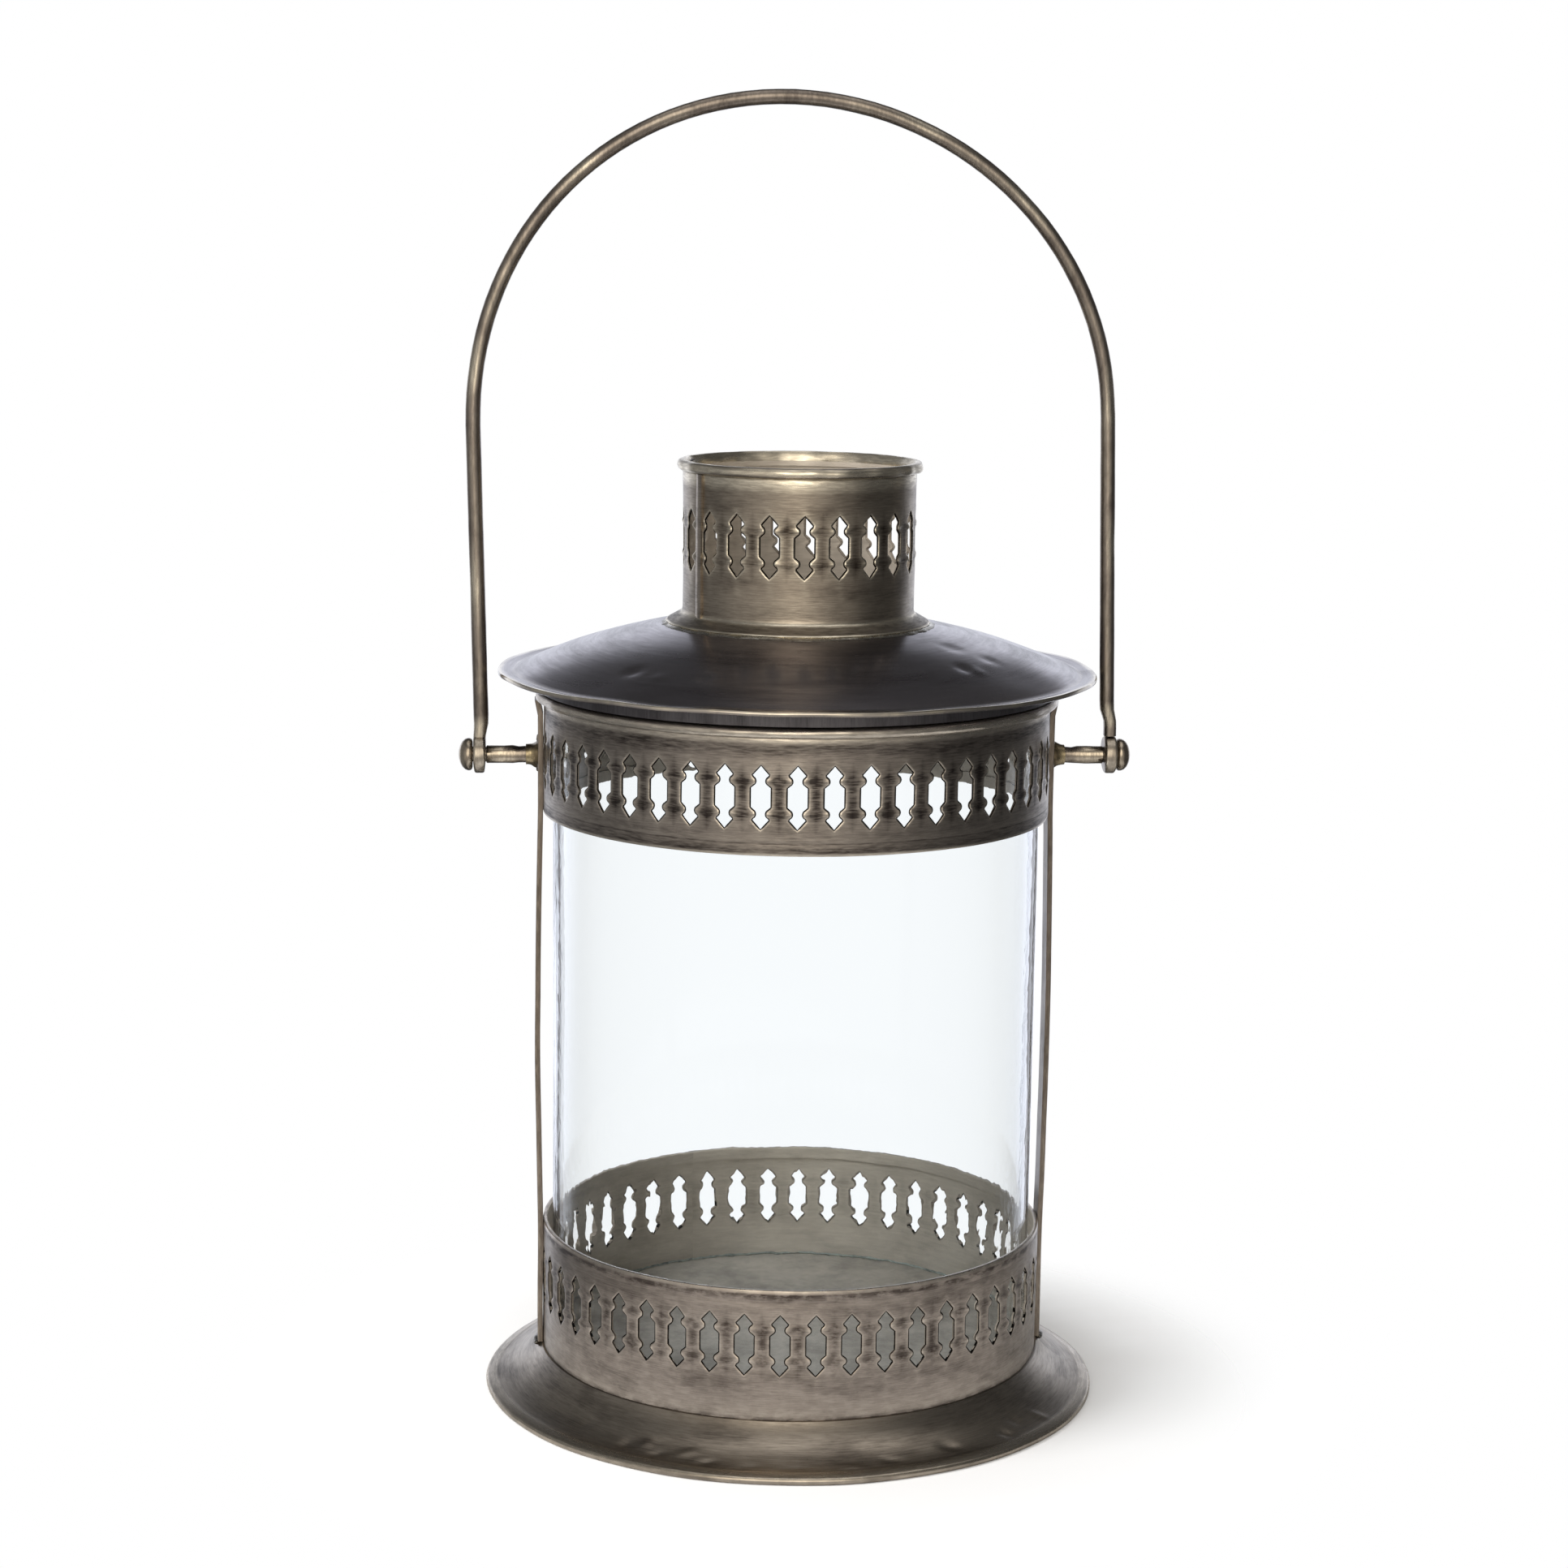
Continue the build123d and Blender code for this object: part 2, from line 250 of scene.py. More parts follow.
metalMarks = {
    # where each kind of mark begins and where it is full, on a noise of 0 to 1
    "range": {"cloud": (0.44, 0.66), "streak": (0.42, 0.60), "grain": (0.40, 0.60), "speck": (0.66, 0.74),
              "breaks": (0.40, 0.56)},
    "detail": 4.0, "fineness": 0.6,
    "brokenRub": 0.55,  # share of the rubbing that the breaks leave
    "polish": -0.08,  # what rubbing does to the roughness
    "grainRelief": 0.5, "reliefDepth": 0.05,
}


def agedMetal(name, look):
    # Bare metal under an uneven dark patina, rubbed bright on its edges. A kind of mark is given by its
    # length and height in mm and its share of the darkness; the length lies along U, or else along Z.
    # The places marked by the patina attribute, stains and painted shade, are darkened in the breaks, and by
    # the even share of it elsewhere; the wear attribute brings rubbed brightness and painted highlight.
    material, tree = newMaterial(name)
    where = addNode(tree, "ShaderNodeTexCoord")
    marks = {}
    darkness = 0.0
    for mark, (low, high) in metalMarks["range"].items():
        length, height, share = look[mark]
        along, up = 1 / (length * mm), 1 / (height * mm)
        spread = addNode(tree, "ShaderNodeMapping",
                         {"Vector": where.outputs["UV" if look["unrolled"] else "Object"],
                          "Scale": (along, up, up) if look["unrolled"] else (up, up, along)})
        pattern = addNode(tree, "ShaderNodeTexNoise",
                          {"Vector": spread.outputs[0], "Scale": 1.0, "Detail": metalMarks["detail"],
                           "Roughness": metalMarks["fineness"]})
        marks[mark] = addNode(tree, "ShaderNodeMapRange",
                              {"Value": pattern.outputs["Fac"], "From Min": low, "From Max": high}).outputs[0]
        darkness = addNode(tree, "ShaderNodeMath",
                           {0: marks[mark], 1: share, 2: darkness}, operation="MULTIPLY_ADD").outputs[0]
    patina = addNode(tree, "ShaderNodeAttribute", attribute_name="patina")
    wear = addNode(tree, "ShaderNodeAttribute", attribute_name="wear")
    uneven = addNode(tree, "ShaderNodeMapRange",
                     {"Value": marks["breaks"], "To Min": look["even"] * look["patina"],
                      "To Max": look["patina"]})
    darkness = addNode(tree, "ShaderNodeMath",
                       {0: patina.outputs["Fac"], 1: uneven.outputs[0], 2: darkness},
                       operation="MULTIPLY_ADD", use_clamp=True).outputs[0]
    base = addNode(tree, "ShaderNodeMix",
                   {0: darkness, 6: hexColour(look["bare"]), 7: hexColour(look["dark"])}, data_type="RGBA")
    rubbed = addNode(tree, "ShaderNodeMapRange",
                     {"Value": marks["breaks"], "To Min": look["rubbed"],
                      "To Max": metalMarks["brokenRub"] * look["rubbed"]})
    bright = addNode(tree, "ShaderNodeMath",
                     {0: wear.outputs["Fac"], 1: rubbed.outputs[0]}, operation="MULTIPLY", use_clamp=True)
    colour = addNode(tree, "ShaderNodeMix",
                     {0: bright.outputs[0], 6: base.outputs[2], 7: hexColour(look["worn"])}, data_type="RGBA")
    smooth, dull = look["roughness"]
    satin = addNode(tree, "ShaderNodeMapRange", {"Value": darkness, "To Min": smooth, "To Max": dull})
    polished = addNode(tree, "ShaderNodeMath",
                       {0: bright.outputs[0], 1: metalMarks["polish"], 2: satin.outputs[0]},
                       operation="MULTIPLY_ADD")
    relief = addNode(tree, "ShaderNodeMath",
                     {0: marks["grain"], 1: metalMarks["grainRelief"], 2: marks["streak"]},
                     operation="MULTIPLY_ADD")
    bump = addNode(tree, "ShaderNodeBump",
                   {"Strength": look["bump"], "Distance": metalMarks["reliefDepth"] * mm,
                    "Height": relief.outputs[0]})
    shader = addNode(tree, "ShaderNodeBsdfPrincipled",
                     {"Base Color": colour.outputs[2], "Metallic": look["metal"],
                      "Roughness": polished.outputs[0], "Normal": bump.outputs[0]})
    addNode(tree, "ShaderNodeOutputMaterial", {"Surface": shader.outputs[0]})
    return material


# Tin plate, rolled and brushed along the band, then antiqued: brown-grey satin with dark breaks
# between the slots and pale rubbed slot edges. Real grain is about 0.1 mm, drawn coarser to show.
bandLook = {
    "bare": "#a79e95", "dark": "#352f2d", "worn": "#dcd3c4", "cloud": (30.0, 9.0, 0.38),
    "streak": (20.0, 0.9, 0.08), "grain": (6.0, 0.28, 0.22), "speck": (1.6, 0.9, 0.25),
    "breaks": (5.0, 0.7, 0.06), "patina": 0.9, "even": 0.6, "rubbed": 0.85, "roughness": (0.30, 0.44),
    "bump": 0.2, "metal": 1.0, "unrolled": True,
}
antiquedBandTin = agedMetal("antiqued band tin plate", bandLook)

# The lower band kept more of its tin: softer stains and thinner streaks
lowerLook = dict(bandLook, bare="#9c9289", dark="#463e3a", worn="#d2c8ba", cloud=(24.0, 8.0, 0.34),
                 streak=(20.0, 0.8, 0.07), grain=(6.0, 0.28, 0.24), breaks=(5.0, 2.6, 0.06), patina=0.65,
                 even=0.1)
paleBandTin = agedMetal("paler band tin plate", lowerLook)

# The chimney went browner in the heat
chimneyLook = dict(bandLook, bare="#a99e90", dark="#3a322c", worn="#f6edd8", cloud=(22.0, 9.0, 0.36),
                   streak=(16.0, 0.9, 0.07), grain=(5.0, 0.28, 0.20), patina=0.6, rubbed=0.9)
smokedTin = agedMetal("smoked chimney tin plate", chimneyLook)

# Spun roof under a heavy brown-black patina: satin, with little of the metal showing
lidLook = dict(bandLook, bare="#a29da2", dark="#463f43", worn="#e6dcc6", cloud=(60.0, 14.0, 0.5),
               streak=(40.0, 1.6, 0.10), grain=(22.0, 0.5, 0.10), breaks=(9.0, 2.0, 0.12),
               roughness=(0.21, 0.31), bump=0.08, rubbed=0.95)
darkSpunTin = agedMetal("dark spun roof tin", lidLook)

# Hand-raised skirt: the same tin, hammered, with browner stains
skirtLook = dict(bandLook, bare="#aaa093", dark="#3a332e", worn="#d5cbb9", cloud=(30.0, 7.0, 0.40),
                 streak=(26.0, 1.0, 0.12), grain=(8.0, 0.35, 0.18), roughness=(0.28, 0.42), bump=0.16)
hammeredTin = agedMetal("hammered skirt tin", skirtLook)

# Floor of the chamber: dull warm-grey tin, mottled by heat and wax
floorLook = dict(bandLook, bare="#b6b0a6", dark="#837f78", worn="#b6b0a6", cloud=(24.0, 22.0, 0.5),
                 streak=(9.0, 5.0, 0.2), grain=(2.0, 1.6, 0.12), roughness=(0.42, 0.58), unrolled=False,
                 metal=0.4)
mottledTin = agedMetal("mottled floor tin", floorLook)

# Flat bar drawn through a die: fine lines along it, brown and worn on the corners
stripLook = dict(bandLook, bare="#71675e", dark="#2c2622", worn="#a89c8e", cloud=(16.0, 8.0, 0.4),
                 streak=(22.0, 1.0, 0.3), grain=(9.0, 0.5, 0.25), roughness=(0.32, 0.46), unrolled=False)
flatBarTin = agedMetal("antiqued flat bar", stripLook)

# Round rod, bent cold and forged flat at the ends: brown-grey, rubbed bronze where hands go
rodLook = dict(bandLook, bare="#988e84", dark="#453e3a", worn="#dbd1be", cloud=(12.0, 9.0, 0.28),
               streak=(8.0, 2.2, 0.18), grain=(3.0, 0.7, 0.18), speck=(0.9, 0.7, 0.4),
               roughness=(0.28, 0.42), unrolled=False, rubbed=1.0)
forgedRod = agedMetal("antiqued forged rod", rodLook)

# Turned pins, worn to a pale bronze towards the shoulder of the post and on the heads
pinLook = dict(rodLook, bare="#9d9285", dark="#443c37", worn="#dccfb8", cloud=(6.0, 5.0, 0.3),
               streak=(3.0, 1.8, 0.15), grain=(2.0, 0.8, 0.1), speck=(0.9, 0.7, 0.15), roughness=(0.22, 0.36))
turnedPinSteel = agedMetal("worn pin steel", pinLook)

# Soft solder: grey, lumpy and slightly shiny
solderLook = dict(rodLook, bare="#8e8b84", dark="#4e4943", worn="#d8d3c6", cloud=(2.5, 2.5, 0.5),
                  streak=(1.5, 1.2, 0.2), roughness=(0.26, 0.42))
greySolder = agedMetal("grey soft solder", solderLook)

# Brazing brass gone brown, with grey flux in its folds
brazeLook = dict(solderLook, bare="#8d7d63", dark="#463c31", worn="#d9caa4", cloud=(3.0, 3.0, 0.55))
agedBraze = agedMetal("aged braze", brazeLook)

# The inner side of the bands was never brushed: dull raw tin that spreads the light
innerLook = dict(bandLook, bare="#cfc5b7", dark="#9a9084", worn="#cfc5b7", cloud=(20.0, 12.0, 0.4),
                 streak=(24.0, 2.0, 0.15), grain=(6.0, 0.8, 0.12), patina=0.3, roughness=(0.5, 0.6), bump=0.1,
                 metal=0.4)
rawInnerTin = agedMetal("raw inner tin", innerLook)

# Painted shade: the cut thickness of the sheet in each slot lies in shadow, and is painted as a thin dark
# line round each slot
cutEdgeShadeLook = dict(bandLook, bare="#3a332e", dark="#171412", worn="#3a332e", cloud=(3.0, 2.0, 0.4), patina=0.5,
               roughness=(0.5, 0.6))
shadedCutEdge = agedMetal("burnt cut edge", cutEdgeShadeLook)

# Iron wire and the collar are hidden in the rims and under the roof
wireLook = dict(rodLook, bare="#6e6a64", dark="#3a3632", cloud=(5.0, 5.0, 0.4))
ironWire = agedMetal("dull iron wire", wireLook)
# The collar is painted a darker grey than the other tin, as painted shade under the roof
collarShadeLook = dict(bandLook, bare="#69676a", dark="#343133", roughness=(0.45, 0.55), unrolled=False)
shadedCollarTin = agedMetal("dark collar tin", collarShadeLook)

# The foot of the glass was cut and ground: grey-green and frosted
footLook = dict(bandLook, bare="#a9b0aa", dark="#5f6661", worn="#c9cfc9", cloud=(7.0, 3.0, 0.6),
                streak=(4.0, 1.0, 0.3), roughness=(0.3, 0.5), unrolled=False, metal=0.0)
groundFoot = agedMetal("ground glass foot", footLook)

# Soda glass, drawn as a tube: clear with a breath of blue, long soft streaks, pale grey at the edges
glassLook = {"tint": "#fcfeff", "ior": 1.2, "streakWidth": 4.0, "streakLength": 6.0, "detail": 1.5,
             "fineness": 0.5, "bump": 0.5, "rippleDepth": 0.09}


def drawnGlass(look):
    # lamps pass it as they pass a thin wall, so that what stands inside is lit
    material, tree = newMaterial("drawn soda glass")
    where = addNode(tree, "ShaderNodeTexCoord")
    across, up = 1 / (look["streakWidth"] * mm), 1 / (look["streakLength"] * mm)
    along = addNode(tree, "ShaderNodeMapping",
                    {"Vector": where.outputs["Object"], "Scale": (across, across, up)})
    streak = addNode(tree, "ShaderNodeTexNoise",
                     {"Vector": along.outputs[0], "Scale": 1.0, "Detail": look["detail"],
                      "Roughness": look["fineness"]})
    bump = addNode(tree, "ShaderNodeBump",
                   {"Strength": look["bump"], "Distance": look["rippleDepth"] * mm,
                    "Height": streak.outputs["Fac"]})
    body = addNode(tree, "ShaderNodeBsdfPrincipled",
                   {"Base Color": hexColour(look["tint"]), "Roughness": 0.0, "IOR": look["ior"],
                    "Transmission Weight": 1.0, "Normal": bump.outputs[0]})
    through = addNode(tree, "ShaderNodeBsdfTransparent", {"Color": hexColour(look["tint"])})
    path = addNode(tree, "ShaderNodeLightPath")
    mixed = addNode(tree, "ShaderNodeMixShader",
                    {0: path.outputs["Is Shadow Ray"], 1: body.outputs[0], 2: through.outputs[0]})
    addNode(tree, "ShaderNodeOutputMaterial", {"Surface": mixed.outputs[0]})
    return material


clearGlass = drawnGlass(glassLook)
print("materials ready")

nodeFinish = {
    "base_skirt": hammeredTin, "floor_pan": mottledTin, "lower_band": paleBandTin,
    "upper_band": antiquedBandTin, "upper_rim_wire": ironWire, "chimney_rim_wire": ironWire,
    "left_upright": flatBarTin, "right_upright": flatBarTin, "left_foot_solder": greySolder,
    "right_foot_solder": greySolder, "left_pivot_pin": turnedPinSteel, "right_pivot_pin": turnedPinSteel,
    "left_pin_braze": agedBraze, "right_pin_braze": agedBraze, "glass_cylinder": clearGlass,
    "lid_roof": darkSpunTin, "lid_collar": shadedCollarTin, "chimney": smokedTin, "chimney_solder": greySolder,
    "bail": forgedRod,
}
for nodeName, finish in nodeFinish.items():
    finishSlots = frame["nodes"][nodeName].data.materials
    finishSlots.clear()
    finishSlots.append(finish)


# Camera, floor and light

cameraView = {
    "lens": 78.2, "sensor": 36.0, "shift": -0.0077, "near": 50.0, "far": 20000.0,
    "distance": 1132.0, "height": 404.9,  # from the lantern's axis and above the floor
    "swing": 4.3, "tilt": 9.85, "roll": 0.75,  # to the left, downwards, anticlockwise
}


def placeCamera(view):
    data = bpy.data.cameras.new("photoCamera")
    camera = bpy.data.objects.new("photoCamera", data)
    bpy.context.scene.collection.objects.link(camera)
    swing, tilt = math.radians(view["swing"]), math.radians(view["tilt"])
    ahead = Vector((math.sin(swing), math.cos(swing), 0))
    look = ahead * math.cos(tilt) + Vector((0, 0, -math.sin(tilt)))
    upward = ahead * math.sin(tilt) + Vector((0, 0, math.cos(tilt)))
    rightward = look.cross(upward)
    level = Matrix((rightward, upward, -look)).transposed()
    turn = level @ Matrix.Rotation(math.radians(view["roll"]), 3, "Z")
    place = Vector((0, 0, view["height"])) - ahead * view["distance"]
    camera.matrix_world = Matrix.Translation(place * mm) @ turn.to_4x4()
    data.lens = view["lens"]
    data.sensor_width = view["sensor"]
    data.shift_x = view["shift"]
    data.clip_start = view["near"] * mm
    data.clip_end = view["far"] * mm
    bpy.context.scene.camera = camera


# Soft panels of the studio as the metal sees them: where they are, how wide in degrees, how bright.
# A flat of 2 makes a panel half as tall as it is wide.
studioPanels = {
    "backdrop": {"towards": (0.03, 1.0, -0.07), "flat": 2.3, "full": 34, "gone": 58, "bright": 1.15,
                 "tone": "#eff3ff"},
    "overhead": {"towards": (0.05, -0.05, 1.0), "flat": 1.0, "full": 10, "gone": 36, "bright": 1.0,
                 "tone": "#fffcf8"},
    "behindCamera": {"towards": (-0.2, -1.0, 0.0), "flat": 1.0, "full": 20, "gone": 80, "bright": 0.5,
                     "tone": "#fff8ef"},
    "overCamera": {"towards": (-0.15, -1.0, 0.36), "flat": 1.0, "full": 12, "gone": 30, "bright": 1.8,
                   "tone": "#fff6e6"},
    "leftWall": {"towards": (-1.0, 0.1, 0.0), "flat": 1.0, "full": 20, "gone": 75, "bright": 0.18,
                 "tone": "#ffffff"},
}
studioFill = 0.06  # from everywhere


def seenDirectly(tree):
    # 1 for what the eye sees straight or through glass, 0 for what it sees in metal or as light on a wall
    path = addNode(tree, "ShaderNodeLightPath")
    bounces = addNode(tree, "ShaderNodeMath",
                      {0: path.outputs["Glossy Depth"], 1: path.outputs["Diffuse Depth"]}, operation="ADD")
    return addNode(tree, "ShaderNodeMath", {0: bounces.outputs[0], 1: 0.5}, operation="LESS_THAN").outputs[0]


def lightStudio(panels, fill):
    world = bpy.data.worlds.new("studio")
    bpy.context.scene.world = world
    world.use_nodes = True
    tree = world.node_tree
    tree.nodes.clear()
    where = addNode(tree, "ShaderNodeTexCoord")
    glow = addNode(tree, "ShaderNodeBackground", {"Color": hexColour("#ffffff"), "Strength": fill}).outputs[0]
    for panel in panels.values():
        squashed = addNode(tree, "ShaderNodeVectorMath",
                           {0: where.outputs["Generated"], 1: (1.0, 1.0, panel["flat"])},
                           operation="MULTIPLY")
        even = addNode(tree, "ShaderNodeVectorMath", {0: squashed.outputs[0]}, operation="NORMALIZE")
        towards = Vector(panel["towards"]).normalized()
        facing = addNode(tree, "ShaderNodeVectorMath",
                         {0: even.outputs[0], 1: towards}, operation="DOT_PRODUCT")
        gone, full = math.cos(math.radians(panel["gone"])), math.cos(math.radians(panel["full"]))
        strength = addNode(tree, "ShaderNodeMapRange",
                           {"Value": facing.outputs["Value"], "From Min": gone, "From Max": full,
                            "To Max": panel["bright"]}, interpolation_type="SMOOTHSTEP")
        cloth = addNode(tree, "ShaderNodeBackground",
                        {"Color": hexColour(panel["tone"]), "Strength": strength.outputs[0]})
        glow = addNode(tree, "ShaderNodeAddShader", {0: glow, 1: cloth.outputs[0]}).outputs[0]
    plainWhite = addNode(tree, "ShaderNodeBackground", {"Color": hexColour("#ffffff"), "Strength": 1.0})
    mixed = addNode(tree, "ShaderNodeMixShader", {0: seenDirectly(tree), 1: glow, 2: plainWhite.outputs[0]})
    addNode(tree, "ShaderNodeOutputWorld", {"Surface": mixed.outputs[0]})


softboxSizes = {"place": (-850, -300, 1050), "aim": (0, 0, 100), "size": 620, "power": 14.0}


def hangSoftbox(name, sizes):
    data = bpy.data.lights.new(name, "AREA")
    data.shape = "DISK"
    data.size = sizes["size"] * mm
    data.energy = sizes["power"]
    lamp = bpy.data.objects.new(name, data)
    bpy.context.scene.collection.objects.link(lamp)
    place = Vector(sizes["place"]) * mm
    lamp.location = place
    lamp.rotation_euler = (Vector(sizes["aim"]) * mm - place).to_track_quat("-Z", "Y").to_euler()
    lamp.visible_glossy = False  # the metal shows the studio's panels
    lamp.visible_transmission = False


# The eye sees the paper close round the base, the metal sees more of it
floorSizes = {"radius": 560.0, "sides": 96, "drop": 0.03, "paper": "#f2f2f2", "fill": 0.12,
              "solid": 85.0, "gone": 195.0,
              "metalMiddle": (70.0, -150.0, 0.0), "metalSolid": 220.0, "metalGone": 330.0}


def layFloor(sizes):
    clearSelection()
    bpy.ops.mesh.primitive_circle_add(vertices=sizes["sides"], radius=sizes["radius"] * mm, fill_type="NGON",
                                      location=(0, 0, -sizes["drop"] * mm))
    floor = bpy.context.object
    floor.name = "paleFloor"
    material, tree = newMaterial("matt white paper")
    where = addNode(tree, "ShaderNodeTexCoord")
    away = addNode(tree, "ShaderNodeVectorMath", {0: where.outputs["Object"]}, operation="LENGTH")
    aside = addNode(tree, "ShaderNodeVectorMath",
                    {0: where.outputs["Object"], 1: Vector(sizes["metalMiddle"]) * mm}, operation="DISTANCE")
    eyeFade = addNode(tree, "ShaderNodeMapRange",
                      {"Value": away.outputs["Value"], "From Min": sizes["solid"] * mm,
                       "From Max": sizes["gone"] * mm}, interpolation_type="SMOOTHSTEP")
    metalFade = addNode(tree, "ShaderNodeMapRange",
                        {"Value": aside.outputs["Value"], "From Min": sizes["metalSolid"] * mm,
                         "From Max": sizes["metalGone"] * mm}, interpolation_type="SMOOTHSTEP")
    direct = seenDirectly(tree)
    fade = addNode(tree, "ShaderNodeMix", {0: direct, 2: metalFade.outputs[0], 3: eyeFade.outputs[0]})
    strength = addNode(tree, "ShaderNodeMath", {0: direct, 1: sizes["fill"]}, operation="MULTIPLY")
    paper = addNode(tree, "ShaderNodeBsdfDiffuse", {"Color": hexColour(sizes["paper"])})
    shine = addNode(tree, "ShaderNodeEmission",
                    {"Color": hexColour("#ffffff"), "Strength": strength.outputs[0]})
    both = addNode(tree, "ShaderNodeAddShader", {0: paper.outputs[0], 1: shine.outputs[0]})
    clear = addNode(tree, "ShaderNodeBsdfTransparent")
    sweep = addNode(tree, "ShaderNodeMixShader",
                    {0: fade.outputs[0], 1: both.outputs[0], 2: clear.outputs[0]})
    addNode(tree, "ShaderNodeOutputMaterial", {"Surface": sweep.outputs[0]})
    floor.data.materials.append(material)


placeCamera(cameraView)
lightStudio(studioPanels, studioFill)
hangSoftbox("keyBox", softboxSizes)
layFloor(floorSizes)
bpy.context.scene.view_settings.view_transform = "Standard"
print("studio ready")

# Slotted sheet: one slot is cut and drawn in, copied along a flat strip, and the strip is rolled up

slotShape = {
    "pitch": 11.6, "height": 20.4, "width": 6.5, "middle": 6.2, "pointWidth": 5.4, "pointHeight": 3.0,
    "neckWidth": 3.0, "neckHeight": 5.25, "lobe": 1.5, "lobeTurn": 65, "lobeSteps": 6,
    # the sheet round a slot: its height, its upper points, the spread of the others, the ring between
    "cell": 24.0, "cellTop": (0, 0.36, 0.72, 1), "spread": 1.12, "between": 0.45,
    # the punch draws the cut edge in and leaves a rounded lip: set back, out, wear, patina and shade; a value
    # of 3 marks the cut edge for its painted shade
    "lip": ((-0.16, -0.4, 0.0, 3.0), (0.17, -0.17, 0.0, 3.0), (0.25, -0.06, 0.7, 0.0),
            (0.58, 0.05, 0.75, 0.0), (0.95, 0.03, 0.2, 0.1)),
    # faces whose patina is above this are the cut edge, painted dark as shade
    "cutPatina": 2,  # only the cut edge has more
    "lobeSwell": 0.22, "lobeWear": 0.45, "swellLeft": 0.1,
    # the bars between the slots swell a little and are darkest beside the necks: stain, and a painted dark
    # reflection of the swell
    "barSwell": 0.03, "barFade": 2.0, "barPatina": 0.8, "barEdge": 0.6, "barStain": 0.7, "plainStain": 0.15,
    # a rubbed streak begins at each point
    "tipWidth": 0.5, "plainWear": 0.1, "tipWear": 0.2, "streakWear": 0.15,
}


def allRound(quarter):
    # a quarter of an outline, from its top to its right side, mirrored to the whole, clockwise
    half = quarter + [Vector((point.x, -point.y)) for point in reversed(quarter[:-1])]
    return half + [Vector((-point.x, point.y)) for point in reversed(half[1:-1])]


def slotQuarter(slot):
    tip = Vector((0, slot["height"] / 2))
    shoulder = Vector((slot["pointWidth"] / 2, slot["height"] / 2 - slot["pointHeight"]))
    lobeMiddle = Vector((slot["neckWidth"] / 2 + slot["lobe"], slot["neckHeight"]))
    steps = slot["lobeSteps"]
    swings = [math.radians(180 + slot["lobeTurn"] * (2 * step / steps - 1)) for step in range(steps + 1)]
    lobe = [lobeMiddle + slot["lobe"] * Vector((math.cos(swing), math.sin(swing))) for swing in swings]
    corner = Vector((slot["width"] / 2, slot["middle"] / 2))
    side = Vector((slot["width"] / 2, 0))
    return [tip, tip.lerp(shoulder, 0.33), tip.lerp(shoulder, 0.67), shoulder, shoulder.lerp(lobe[0], 0.5),
            *lobe, lobe[-1].lerp(corner, 0.5), corner, corner.lerp(side, 0.5), side]


def cellQuarter(slot, quarter, pitch):
    # the edge of the sheet's share, with a point for each point of the slot
    wide, tall = pitch / 2, slot["cell"] / 2
    top = [Vector((wide * share, tall)) for share in slot["cellTop"]]
    return top + [Vector((wide, slot["spread"] * point.y)) for point in quarter[len(top):]]


def widened(outline, setBack):
    moved = []
    for number, point in enumerate(outline):
        along = (outline[(number + 1) % len(outline)] - outline[number - 1]).normalized()
        moved.append(point + setBack * Vector((-along.y, along.x)))
    return moved


def flatCell(name, slot, pitch, middle, drawn):
    # one slot in its share of the sheet, standing in the XZ plane; drawn is how deep the punch went
    quarter = slotQuarter(slot)
    outline = allRound(quarter)
    border = allRound(cellQuarter(slot, quarter, pitch))
    neck, lobe = slot["neckHeight"], slot["lobe"]
    lobeReach = slot["neckWidth"] / 2 + lobe
    nearBar = 0.49 * pitch  # what lies further out is on a bar
    onLobe = [max(0, 1 - ((abs(point.y) - neck) / lobe) ** 2) * (abs(point.x) < lobeReach)
              for point in outline]
    onTip = [1.0 if abs(point.x) < slot["tipWidth"] else 0.0 for point in outline]
    onBar = [math.exp(-((abs(point.y) - slot["spread"] * neck) / slot["barFade"]) ** 2)
             if abs(point.x) > nearBar else 0.0 for point in border]
    stained = [slot["barStain"] if abs(point.x) > nearBar and abs(point.y) < neck else slot["plainStain"]
               for point in border]

    def places(points, lift):
        return [Vector((point.x + pitch / 2, out, point.y)) * mm + Vector((0, 0, middle))
                for point, out in zip(points, lift)]

    rings = []
    for setBack, out, wear, patina in slot["lip"]:
        lift = [drawn * (out + slot["lobeSwell"] * share) for share in onLobe]
        rubbed = [wear * min(1.0, drawn) + slot["lobeWear"] * share for share in onLobe]
        rings.append((places(widened(outline, setBack), lift), rubbed, patina))
    lastSetBack, lastOut = slot["lip"][-1][:2]
    lipEnd = widened(outline, lastSetBack)
    between = [inner.lerp(outer, slot["between"]) for inner, outer in zip(lipEnd, border)]
    lift = [drawn * (lastOut + slot["swellLeft"] * slot["lobeSwell"] * share) + slot["barSwell"] * bar
            for share, bar in zip(onLobe, onBar)]
    rubbed = [slot["plainWear"] + slot["tipWear"] * tip for tip in onTip]
    # beside the necks the bars are darkened: stain, and a painted dark reflection of their swell
    stainAndShade = [max(slot["barPatina"] * bar, plain) for bar, plain in zip(onBar, stained)]
    rings.append((places(between, lift), rubbed, stainAndShade))
    lift = [slot["barEdge"] * slot["barSwell"] * bar for bar in onBar]
    rubbed = [slot["streakWear"] * tip for tip in onTip]
    stainAndShade = [max(bar, plain) for bar, plain in zip(onBar, stained)]
    rings.append((places(border, lift), rubbed, stainAndShade))
    return drawRings(name, rings)


def rowsFrom(level, rows):
    # rows of a band that are measured from one level: out, height, wear and painted sheen, patina and painted
    # shade
    return [(out, level + rise * mm, wear, patina) for out, rise, wear, patina in rows]


